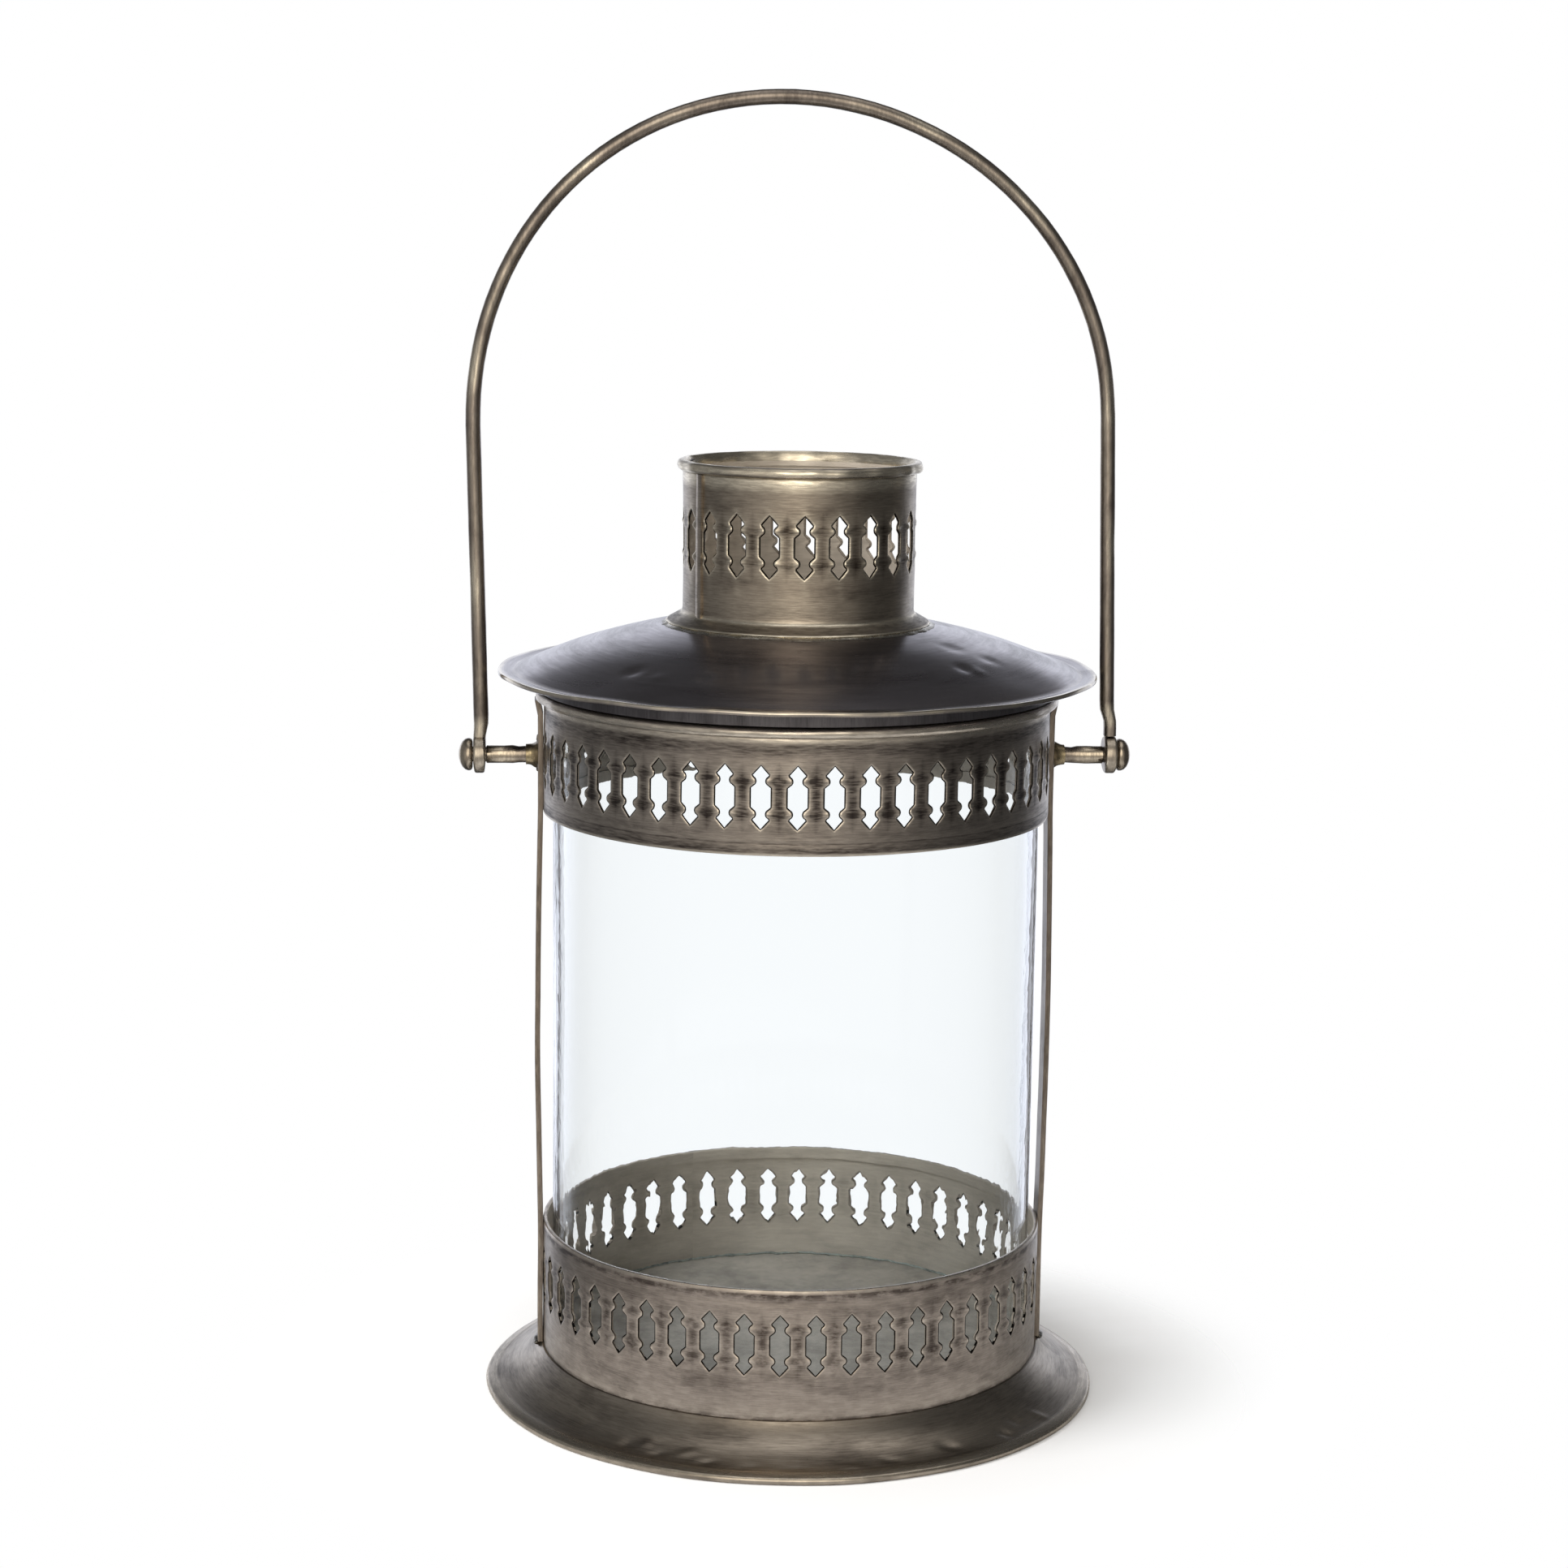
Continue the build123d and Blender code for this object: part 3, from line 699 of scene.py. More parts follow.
def growRows(piece, start, rows):
    # the cell's upper or lower edge is drawn out row by row
    rough = bmesh.from_edit_mesh(piece.data)
    for vert in rough.verts:
        vert.select = abs(vert.co.z - start) < mergeDistance
    rough.select_flush_mode()
    bmesh.update_edit_mesh(piece.data)
    for out, height, wear, patina in rows:
        bpy.ops.mesh.extrude_region_move()
        rough = bmesh.from_edit_mesh(piece.data)
        worn, stained = rough.verts.layers.float["wear"], rough.verts.layers.float["patina"]
        for vert in rough.verts:
            if vert.select:
                vert.co.y = out * mm
                vert.co.z = height
                vert[worn] = max(wear, 0.5 * vert[worn])  # the streak over each point fades out
                vert[stained] = patina
        bmesh.update_edit_mesh(piece.data)


# A rolled rim is rubbed bright between two angles on its outside, and past a third on its inner side; the
# crease under it is painted dark as shade
beadLook = {"rubFrom": 285, "rubTo": 395, "innerRub": 435, "rubbed": 0.9, "plain": 0.4, "creasePatina": 0.7}


def rolledBead(out, height, radius, first, last, steps):
    # rows of a rim turned over a wire, from its lower crease round the outside and in again
    rows = []
    for step in range(steps + 1):
        angle = first + (last - first) * step / steps
        swing = math.radians(angle)
        bright = beadLook["rubFrom"] < angle < beadLook["rubTo"] or angle > beadLook["innerRub"]
        wear = beadLook["rubbed"] if bright else beadLook["plain"]
        # painted shade in the crease under the rim
        patina = beadLook["creasePatina"] if step == 0 else 0.0
        rows.append((out + radius * math.cos(swing), height + radius * math.sin(swing) * mm, wear, patina))
    return rows


def seamPlace(band, count):
    # the place between two slots that lies nearest to the wanted angle
    step = 360 / count
    nearest = round((band["seamTurn"] - band["slotTurn"]) / step - 0.5) + 0.5
    return math.radians(band["slotTurn"] + nearest * step)


def rollUp(piece, radius, seam, backTurn):
    # the slots were pitched by eye, so that those at the back stand a little round from their places
    for vert in piece.data.vertices:
        turn = seam + vert.co.x / radius
        turn += math.radians(backTurn) * 0.5 * (1 + math.sin(turn))
        reach = radius + vert.co.y
        vert.co = Vector((reach * math.cos(turn), reach * math.sin(turn), vert.co.z))


# The lap is shaped on a grid from -1 to 1: it rises over its first part and ends in a step
lapShape = {"columns": 8, "rows": 18, "rise": 1.3, "lastColumn": 0.99, "sunk": -0.2, "stepAt": 0.8,
            "wander": 0.25, "wanderWaves": 7.0, "wanderSeed": 3.1, "thickness": 0.3}


def lapStrip(name, band, radius, seam):
    # the sheet's outer end over the seam: one side runs into the band, the other stands off it as a step
    lap = lapShape
    bottom, top = band["lapFrom"], band["lapTo"]
    clearSelection()
    bpy.ops.mesh.primitive_grid_add(x_subdivisions=lap["columns"], y_subdivisions=lap["rows"], size=2)
    strip = bpy.context.object
    strip.name = strip.data.name = name
    half = 0.5 * band["lapWidth"]
    for vert in strip.data.vertices:
        across, up = vert.co.x, 0.5 * (vert.co.y + 1)
        rise = math.sin(min(1.0, (across + 1) / lap["rise"]) * 0.5 * math.pi) * band["lapStep"]
        if across > lap["lastColumn"]:
            rise = lap["sunk"]
        spot = Vector((lap["wanderSeed"], lap["wanderWaves"] * up, band["seamTurn"]))
        wander = lap["wander"] * noise.noise(spot)
        place = min(across, lap["stepAt"]) / lap["stepAt"] if across > 0 else across
        vert.co = Vector(((place * half + wander) * mm, rise * mm, bottom + up * (top - bottom)))
    rollUp(strip, radius, seam, band["backTurn"])
    faceOut(strip, Vector((0, 0, 0.5 * (bottom + top))))
    useModifier(strip, "SOLIDIFY", thickness=lap["thickness"] * mm, offset=-1)
    return strip


def slottedBand(name, band, finish, radius, middle, over, under, beadFrom=None):
    count = round(math.tau * radius / (slotShape["pitch"] * mm))
    pitch = math.tau * radius / count / mm
    seam = seamPlace(band, count)
    piece = flatCell(name, slotShape, pitch, middle, band["drawn"])
    growRows(piece, middle + 0.5 * slotShape["cell"] * mm, over)
    growRows(piece, middle - 0.5 * slotShape["cell"] * mm, under)
    bpy.ops.object.mode_set(mode="OBJECT")
    useModifier(piece, "ARRAY", count=count, use_relative_offset=False, use_constant_offset=True,
                constant_offset_displace=(pitch * mm, 0, 0), use_merge_vertices=True,
                merge_threshold=5 * mergeDistance)
    rollUp(piece, radius, seam, band["backTurn"])
    faceOut(piece, Vector((0, 0, middle)))
    unsettle(piece, band["wobble"], band["wobbleWave"], band["seed"])
    if beadFrom:  # hammer marks along the rolled rim
        unsettle(piece, band["hammered"], band["hammerMark"], band["hammerSeed"],
                 lambda place: 1.0 if place.z > beadFrom else 0.0)
    for material in (finish, rawInnerTin, shadedCutEdge):
        piece.data.materials.append(material)
    useModifier(piece, "SOLIDIFY", thickness=sheetThickness, offset=-1, material_offset=1)
    strip = lapStrip(name + "Lap", band, radius, seam)
    strip.data.materials.append(finish)
    piece = joinPieces([piece, strip], name)
    # what looks inwards below the rolled rim is raw tin, and the slots' cut edges get their painted shade
    stainAndShade = piece.data.attributes["patina"].data
    for face in piece.data.polygons:
        facing = face.normal.dot(awayFromAxis(face.center))
        if facing < -0.3 and (not beadFrom or face.center.z < beadFrom):
            face.material_index = 1
        elif min(stainAndShade[vert].value for vert in face.vertices) > slotShape["cutPatina"]:
            face.material_index = 2
    unrollUv(piece, radius, seam)
    return piece


bandSizes = {"hem": 4.0, "bead": 1.8, "wobble": 0.5, "wobbleWave": 34.0, "lapWidth": 4.5, "lapStep": 0.7,
             "backTurn": 0.0}

# Rows of the bands and of the chimney: out, height, wear and painted sheen, patina and painted shade. The
# ends of a lap are in metres.
upperSizes = dict(
    bandSizes, drawn=0.8, slotTurn=0.0, seamTurn=94.0, lapFrom=upperBottom, lapTo=upperTop - 3.7 * mm,
    seed=2.0, hammered=0.5, hammerMark=9.0, hammerSeed=7.0, beadTurn=(246, 560), beadSteps=18,
    # from the rim's crease downwards: the crease row is painted dark as shade, and the two rows just under
    # the crease are painted pale as a highlight where the wall under the rim is lit
    belowRim=((0.0, -4.7, 0.0, 0.5), (0.0, -2.6, 0.1, 0.5), (0.1, -1.4, 0.8, 0.0), (0.05, -0.5, 0.8, 0.0),
              (-0.1, -0.05, 0.0, 1.0)),
    # from the upper edge of the hem, from the lower edge of the band, and the hem's inner end
    aboveHem=((0.0, 1.2, 0.15, 0.1), (-0.02, 0.4, 0.1, 0.1), (-0.06, 0.0, 0.0, 0.6), (0.0, -0.5, 0.1, 0.3)),
    hemRows=((0.02, 2.0, 0.0, 0.55), (0.03, 1.1, 0.0, 0.5), (0.0, 0.6, 0.7, 0.0), (-0.14, 0.12, 1.0, 0.0),
             (-0.4, 0.0, 0.4, 0.3), (-1.2, 0.0, 0.0, 0.3), (-1.55, 0.2, 0.0, 0.3), (-1.62, 0.6, 0.0, 0.3)),
    hemEnd=((-1.62, 0.0, 0.0, 0.3),),
)


def creaseUnder(beadMiddle, bead, beadOut):
    # where the round of a rolled rim meets the wall below it
    return beadMiddle - math.sqrt(bead ** 2 - beadOut ** 2) * mm


def makeUpperBand(sizes):
    hemLine = upperBottom + sizes["hem"] * mm
    beadMiddle = upperTop - sizes["bead"] * mm
    beadOut = (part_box("upper_band")[1].y - bandRadius) / mm - sizes["bead"]
    crease = creaseUnder(beadMiddle, sizes["bead"], beadOut)
    over = rowsFrom(crease, sizes["belowRim"])
    over += rolledBead(beadOut, beadMiddle, sizes["bead"], *sizes["beadTurn"], sizes["beadSteps"])
    under = rowsFrom(hemLine, sizes["aboveHem"]) + rowsFrom(upperBottom, sizes["hemRows"])
    under += rowsFrom(hemLine, sizes["hemEnd"])
    band = slottedBand("upperBand", sizes, antiquedBandTin, bandRadius, pivotHeight, over, under, crease)
    finishPiece(band, antiquedBandTin, "cage", ["upper_band"])


lowerSizes = dict(
    bandSizes, drawn=0.5, slotTurn=-2.3, slotRise=25.1, seamTurn=109.0, seed=9.0,
    lapFrom=lowerBottom + 0.1 * mm, lapTo=lowerTop,
    # from the lower edge of the hem, from the upper edge of the band, and the hem's inner end
    belowHem=((0.0, -1.5, 0.1, 0.1), (-0.02, -0.4, 0.1, 0.1), (-0.05, 0.0, 0.0, 0.25), (0.0, 0.5, 0.0, 0.2)),
    # the hem's outer face just under its top edge is painted darker: grainy stain and a painted thin shadow
    hemRows=((0.02, -2.4, 0.0, 0.8), (0.02, -1.5, 0.0, 0.9), (0.0, -0.9, 0.5, 0.0), (-0.14, -0.12, 1.0, 0.0),
             (-0.4, 0.0, 1.0, 0.0), (-1.2, 0.0, 0.8, 0.0), (-1.55, -0.2, 0.2, 0.2), (-1.62, -0.6, 0.0, 0.3)),
    hemEnd=((-1.62, 0.0, 0.0, 0.4),),
    # from the lower edge of the band
    footRows=((0.0, 7.5, 0.1, 0.1), (0.0, 4.0, 0.2, 0.0), (0.05, 1.6, 0.35, 0.0), (0.0, 0.4, 0.1, 0.5),
              (0.0, 0.02, 0.0, 1.0)),
)


def makeLowerBand(sizes):
    hemLine = lowerTop - sizes["hem"] * mm
    over = rowsFrom(hemLine, sizes["belowHem"]) + rowsFrom(lowerTop, sizes["hemRows"])
    over += rowsFrom(hemLine, sizes["hemEnd"])
    under = rowsFrom(lowerBottom, sizes["footRows"])
    middle = lowerBottom + sizes["slotRise"] * mm
    band = slottedBand("lowerBand", sizes, paleBandTin, bandRadius, middle, over, under)
    finishPiece(band, paleBandTin, "cage", ["lower_band"])


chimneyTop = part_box("chimney")[1].z
chimneyFoot = chimneyTop - 53.6 * mm
chimneySizes = dict(
    bandSizes, radius=38.7, drawn=1.3, slotTurn=-91.6, backTurn=-2.2, slotRise=28.0, seamTurn=208.0,
    lapStep=0.75, lapFrom=chimneyFoot + 2.6 * mm, lapTo=chimneyTop - 3.7 * mm,
    seed=4.0, wobble=0.4, hammered=0.6, hammerMark=6.0, hammerSeed=9.0,
    beadOverhang=2.0, beadTurn=(272, 452), beadSteps=12, flangeWidth=5.5, flangeDrop=3.15, flangeLip=-0.15,
    # from the rim's crease downwards: the crease row is painted dark as shade, and the two rows just under
    # the crease are painted pale as a highlight where the wall under the rim is lit
    belowRim=((0.0, -9.0, 0.05, 0.15), (0.0, -5.0, 0.05, 0.25), (0.1, -1.9, 0.85, 0.0),
              (0.05, -0.6, 0.85, 0.0), (-0.1, -0.05, 0.0, 1.0)),
    # from the top: inside, the wall opens into the rim like a trumpet
    trumpet=((-0.4, -0.1, 0.9, 0.0), (-0.85, -0.7, 0.9, 0.0), (-1.25, -1.9, 0.9, 0.0),
             (-1.45, -3.3, 0.9, 0.0), (-1.5, -5.0, 0.9, 0.0)),
    # from the bend over the flange, and along the flange: out, wear, patina
    aboveBend=((0.0, 6.5, 0.1, 0.1), (0.0, 3.2, 0.1, 0.2), (0.0, 1.2, 0.0, 0.3), (0.12, 0.45, 0.3, 0.2),
               (0.45, -0.05, 1.0, 0.0)),
    flange=((0.9, 0.2, 0.4), (1.6, 0.0, 0.6), (3.2, 0.0, 0.6), (4.8, 0.0, 0.6), (5.3, 1.0, 0.0)),
)


def makeChimney(sizes):
    beadMiddle = chimneyTop - sizes["bead"] * mm
    beadOut = sizes["beadOverhang"] - sizes["bead"]
    crease = creaseUnder(beadMiddle, sizes["bead"], beadOut)
    bend = chimneyFoot + sizes["flangeDrop"] * mm
    slope = sizes["flangeDrop"] / sizes["flangeWidth"]
    over = rowsFrom(crease, sizes["belowRim"])
    over += rolledBead(beadOut, beadMiddle, sizes["bead"], *sizes["beadTurn"], sizes["beadSteps"])
    over += rowsFrom(chimneyTop, sizes["trumpet"])
    under = rowsFrom(bend, sizes["aboveBend"])
    under += [(out, bend - slope * out * mm, wear, patina) for out, wear, patina in sizes["flange"]]
    under += [(sizes["flangeWidth"], chimneyFoot + sizes["flangeLip"] * mm, 1.0, 0.0)]
    middle = chimneyFoot + sizes["slotRise"] * mm
    chimney = slottedBand("chimneyTube", sizes, smokedTin, sizes["radius"] * mm, middle, over, under, crease)
    finishPiece(chimney, smokedTin, "lid", ["chimney"])


makeUpperBand(upperSizes)
makeLowerBand(lowerSizes)
makeChimney(chimneySizes)


# Spun and turned pieces

def bowed(start, end, sag, steps):
    # points on a shallow arc; sag is to the left of the way from start to end
    chord = Vector((end[0] - start[0], end[1] - start[1]))
    across = Vector((-chord.y, chord.x)).normalized()
    points = []
    for step in range(steps + 1):
        share = step / steps
        point = Vector(start) + chord * share + across * (4 * share * (1 - share) * sag)
        points.append((point.x, point.y))
    return points


def dent(piece, middle, size, depth):
    # a soft hollow, or a bump where depth is negative; size is its half width along each axis
    for vert in piece.data.vertices:
        apart = vert.co - middle
        near = sum((apart[axis] / (size[axis] * mm)) ** 2 for axis in range(3))
        if near < 1:
            vert.co.z -= depth * mm * (1 - near) ** 2


def onCircle(turn, reach, height):
    # a place at an angle from the front
    swing = math.radians(turn - 90)
    return Vector((reach * math.cos(swing), reach * math.sin(swing), height)) * mm


frontToRight = 0.5 * math.pi  # the maps of the skirt and the roof are parted at the right, behind the bail

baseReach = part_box("base_skirt")[1].x
skirtSizes = {
    "height": 14.6, "ledgeOut": 85.6, "ledgeRound": 0.15, "crease": 100.3, "creaseRise": 3.3, "sag": -1.9,
    "flareSteps": 26, "rimThickness": 2.4, "sides": 384, "wobble": 0.5, "wobbleWave": 30.0, "seed": 12.0,
    "wobbleFrom": 88.0, "wobbleRamp": 10.0,
    # reach, height and wear: of the ledge from its top, of the flange from the crease, of the rim from
    # the top and the foot of its edge, and of the hem from the floor
    "ledge": ((76.0, 0.0), (80.0, 0.0), (84.0, 0.0), (85.1, 0.02)),
    "flange": ((0.5, -0.02, 0.6),),
    "rimTop": ((-2.2, 0.42, 0.55), (-0.9, 0.05, 0.3), (-0.35, -0.25, 0.9), (-0.06, -0.8, 0.4)),
    "rimFoot": ((0.0, 1.2), (-0.1, 0.55), (-0.4, 0.15), (-0.9, 0.0)),
    "hem": ((101.9, 0.0), (101.9, 1.6)),
    # hammer marks along the front: angle from the front, radius, length, width, depth
    "marks": ((-49, 94, 6, 3.2, 0.35), (-37, 96.5, 4, 3.4, 0.5), (-33, 94.5, 3.5, 3.0, -0.4),
              (-30, 98, 4.5, 2.2, 0.6), (-24, 95.5, 6, 2.4, -0.35), (-20, 98.5, 5, 2.0, 0.6),
              (-12, 99, 7, 1.8, 0.3), (-3, 98.5, 8, 1.6, 0.3), (8, 99, 7, 1.8, -0.3),
              (16, 97.5, 6, 2.0, 0.35), (29, 96, 6, 2.6, 0.4), (43, 97.5, 5, 2.6, 0.6),
              (48, 94, 4.5, 3.2, 0.45), (55, 97, 6, 2.4, -0.35)),
    "markRise": 5.5, "markHeight": 6.0,
}


def makeSkirt(sizes):
    edge = baseReach / mm
    profile = pointsFrom(0.0, sizes["height"], sizes["ledge"])
    profile += bowed((sizes["ledgeOut"], sizes["height"] - sizes["ledgeRound"]),
                     (sizes["crease"], sizes["creaseRise"]), sizes["sag"], sizes["flareSteps"])
    profile += pointsFrom(sizes["crease"], sizes["creaseRise"], sizes["flange"])
    profile += pointsFrom(edge, sizes["rimThickness"], sizes["rimTop"])
    profile += pointsFrom(edge, 0.0, sizes["rimFoot"])
    profile += sizes["hem"]
    skirt = lathe("baseSkirt", profile, sizes["sides"])
    faceOut(skirt, Vector((0, 0, -0.2)))
    unsettle(skirt, sizes["wobble"], sizes["wobbleWave"], sizes["seed"],
             lambda place: rampUp(place.length / mm, sizes["wobbleFrom"], sizes["wobbleRamp"]))
    for turn, reach, length, width, depth in sizes["marks"]:
        dent(skirt, onCircle(turn, reach, sizes["markRise"]), (length, width, sizes["markHeight"]), depth)
    useModifier(skirt, "SOLIDIFY", thickness=sheetThickness, offset=-1)
    unrollUv(skirt, baseReach, 0.0, -frontToRight, radial=True)
    finishPiece(skirt, hammeredTin, "cage", ["base_skirt"])


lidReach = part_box("lid_roof")[1].x
lidBottom, lidTop = (corner.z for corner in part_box("lid_roof"))
roofSizes = {
    "flue": 37.0, "creaseWidth": 5.2, "creaseDrop": 0.6, "creaseWear": 0.2, "rimThickness": 1.5, "crown": 2.1,
    "crownSteps": 34, "sides": 240, "mapRadius": 70.0,
    # reach, height and wear: of the flange from the crease, and of the rim from its upper outer corner
    "flange": ((0.7, 0.04),),
    "rim": ((-2.2, -0.2), (-0.9, -0.02, 0.8), (-0.35, -0.06, 1.0), (-0.05, -0.4, 1.0), (0.0, -0.8, 0.8),
            (-0.12, -1.3, 0.3), (-0.5, -1.5), (-3.3, -1.5), (-3.3, -0.9)),
    # the hand-beaten rim is a little out of round and out of flat
    "wobble": 0.7, "wobbleWave": 42.0, "wobbleFrom": 60.0, "wobbleRamp": 40.0, "seed": 21.0,
    "waver": 0.5, "waverWave": 26.0, "waverFrom": 50.0, "waverRamp": 30.0,
    # bruises: angle from the front, radius, half width, depth
    "bruises": ((41.7, 74, 4.2, 0.55), (44.5, 77, 3.6, -0.3), (55.7, 72, 5.0, 0.3), (-46.3, 78, 4.6, 0.45),
                (-37.3, 80, 4.0, -0.3), (-26.3, 78, 4.4, 0.25), (52.0, 60, 6.0, 0.3)),
    "bruiseDrop": 10.0, "bruiseHeight": 20.0,
}


def makeRoof(sizes):
    edge, rimTop = lidReach / mm, lidBottom / mm + sizes["rimThickness"]
    crease = (edge - sizes["creaseWidth"], rimTop - sizes["creaseDrop"])
    profile = bowed((sizes["flue"], lidTop / mm), crease, sizes["crown"], sizes["crownSteps"])
    profile[-1] = (*crease, sizes["creaseWear"])
    profile += pointsFrom(*crease, sizes["flange"]) + pointsFrom(edge, rimTop, sizes["rim"])
    roof = lathe("lidRoof", profile, sizes["sides"])
    faceOut(roof, Vector((0, 0, lidBottom - 0.2)))
    unsettle(roof, sizes["wobble"], sizes["wobbleWave"], sizes["seed"],
             lambda place: max(0, (math.hypot(*place.xy) / mm - sizes["wobbleFrom"]) / sizes["wobbleRamp"]))
    for vert in roof.data.vertices:
        waver = rampUp(math.hypot(*vert.co.xy) / mm, sizes["waverFrom"], sizes["waverRamp"])
        vert.co.z += sizes["waver"] * mm * noise.noise(vert.co / (sizes["waverWave"] * mm)) * waver
    for turn, reach, width, depth in sizes["bruises"]:
        middle = onCircle(turn, reach, lidTop / mm - sizes["bruiseDrop"])
        dent(roof, middle, (width, width, sizes["bruiseHeight"]), depth)
    useModifier(roof, "SOLIDIFY", thickness=sheetThickness, offset=-1)
    unrollUv(roof, sizes["mapRadius"] * mm, 0.0, -frontToRight, radial=True)
    finishPiece(roof, darkSpunTin, "lid", ["lid_roof"])


glassBottom, glassTop = (corner.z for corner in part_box("glass_cylinder"))
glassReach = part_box("glass_cylinder")[1].x
glassSizes = {
    "wall": 2.4, "lip": 0.9, "lipRound": 0.26, "footWidth": 0.4, "footHeight": 0.5, "sides": 160, "rows": 22,
    # the wall ripples in long waves, its inner face in others, and the cut end is ground by hand
    "ripple": 0.16, "rippleWave": 24.0, "stretch": 0.35, "innerSeed": 7.0, "ragged": 0.7, "raggedWave": 11.0,
}


def makeGlass(sizes):
    outer, bottom, top = glassReach / mm, glassBottom / mm, glassTop / mm
    inner = outer - sizes["wall"]
    lip, lipRound = sizes["lip"], sizes["lipRound"]
    low, high = bottom + sizes["footHeight"], top - lip
    heights = [low + (high - low) * step / sizes["rows"] for step in range(sizes["rows"] + 1)]
    profile = [(outer - sizes["footWidth"], bottom)] + [(outer, height) for height in heights]
    profile += [(outer - lipRound, top - lipRound), (outer - lip, top), (inner + lip, top),
                (inner + lipRound, top - lipRound)]
    profile += [(inner, height) for height in reversed(heights)] + [(inner + sizes["footWidth"], bottom)]
    glass = lathe("glassCylinder", profile, sizes["sides"], closed=True)
    faceOut(glass, Vector((0, 0, 0.5 * (glassBottom + glassTop))))
    for vert in glass.data.vertices:
        stretched = Vector((vert.co.x, vert.co.y, sizes["stretch"] * vert.co.z))
        inside = math.hypot(vert.co.x, vert.co.y) < 0.5 * (outer + inner) * mm
        start = Vector((0, 0, sizes["innerSeed"] * inside))
        ripple = noise.noise(stretched / (sizes["rippleWave"] * mm) + start)
        vert.co += awayFromAxis(vert.co) * sizes["ripple"] * mm * ripple
        if vert.co.z < (low + 0.1) * mm:  # the two lowest rows
            vert.co.z += sizes["ragged"] * mm * max(0, noise.noise(vert.co / (sizes["raggedWave"] * mm)))
    glass.data.materials.append(clearGlass)
    glass.data.materials.append(groundFoot)
    for face in glass.data.polygons:
        face.material_index = 1 if face.center.z < (low - 0.1) * mm else 0
    finishPiece(glass, clearGlass, "glass", ["glass_cylinder"])


makeSkirt(skirtSizes)
makeRoof(roofSizes)
makeGlass(glassSizes)


# Uprights, pins and their joints; the left ones are mirrored copies with their own unevenness

uprightLow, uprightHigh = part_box("right_upright")
uprightSizes = {
    "round": 0.4, "rows": 44, "swell": 0.3, "flare": 1.0, "flareFrom": 5.0, "bow": 0.9,
    "wander": 0.35, "wanderWave": 45.0, "sway": 0.4, "swayWave": 30.0,
    # round the section, from the inner front corner to the inner back one
    "wear": (0.2, 0.7, 1.0, 0.6, 0.1, 0.1, 0.6, 1.0, 0.7, 0.2),
}


def makeUpright(side, name, node, seed):
    sizes = uprightSizes
    inner, outer = uprightLow.x, uprightHigh.x + sizes["swell"] * mm
    half, corner = uprightHigh.y, sizes["round"] * mm
    section = [(inner, -half), (outer - corner, -half), (outer - 0.3 * corner, -half + 0.3 * corner),
               (outer, -half + corner), (outer, -0.4 * half), (outer, 0.4 * half), (outer, half - corner),
               (outer - 0.3 * corner, half - 0.3 * corner), (outer - corner, half), (inner, half)]

    def ring(share):
        height = uprightLow.z + share * (uprightHigh.z - uprightLow.z)
        wander = noise.noise(Vector((seed, 0, height / (sizes["wanderWave"] * mm))))
        bow = sizes["wander"] * mm * max(0, wander)
        bow += sizes["flare"] * mm * max(0, 1 - (uprightHigh.z - height) / (sizes["flareFrom"] * mm)) ** 2
        window = rampUp(height, lowerTop, upperBottom - lowerTop)
        bow += sizes["bow"] * mm * math.sin(math.pi * window)  # it springs out beside the glass
        sway = sizes["sway"] * mm * noise.noise(Vector((0, seed, height / (sizes["swayWave"] * mm))))
        return [Vector((side * (reach + bow), across + sway, height)) for reach, across in section]

    rings = [(ring(row / sizes["rows"]), sizes["wear"]) for row in range(sizes["rows"] + 1)]
    strip = drawRings(name, rings, capped=True)
    bpy.ops.object.mode_set(mode="OBJECT")
    faceOut(strip, Vector((side * 0.5 * (inner + outer), 0, 0.5 * (uprightLow.z + uprightHigh.z))))
    finishPiece(strip, flatBarTin, "cage", [node], edge=30)


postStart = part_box("right_pivot_pin")[0].x
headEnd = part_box("right_pivot_pin")[1].x
pinSizes = {
    "post": 3.0, "spigot": 2.5, "head": 5.45, "tip": 0.05, "tipWear": 0.5, "sides": 36,
    "shoulder": 9.3, "headStart": 4.7,  # from the end of the head
    # radius, length and wear: of the post from its start, of its shoulder, and of the head from its start
    "postShape": ((0.2, 0.0), (0.1, 2.4), (-0.28, 4.4), (-0.28, 6.6), (-0.05, 8.6, 0.4), (0.0, 11.5, 0.6)),
    "shoulderShape": ((0.0, -0.25, 0.5), (-0.25, 0.0, 0.2)),
    "headShape": ((-1.0, 0.0), (-0.3, 0.25, 0.3), (0.0, 0.9, 0.3), (0.0, 1.6, 0.2), (-0.3, 2.5, 0.3),
                  (-1.1, 3.4, 0.5), (-2.4, 4.15, 0.7), (-4.0, 4.6, 0.6)),
    "lumps": 0.3, "lumpWave": 3.4, "headLumps": 0.4,
}


def layOnPin(piece, side):
    # a piece turned about Z goes onto the pin's axis; its height becomes the distance from the middle
    turn = Matrix.Rotation(math.radians(90), 4, "Y")
    if side < 0:
        turn = Matrix.Scale(-1, 4, (1, 0, 0)) @ turn
    piece.data.transform(Matrix.Translation((0, 0, pivotHeight)) @ turn)


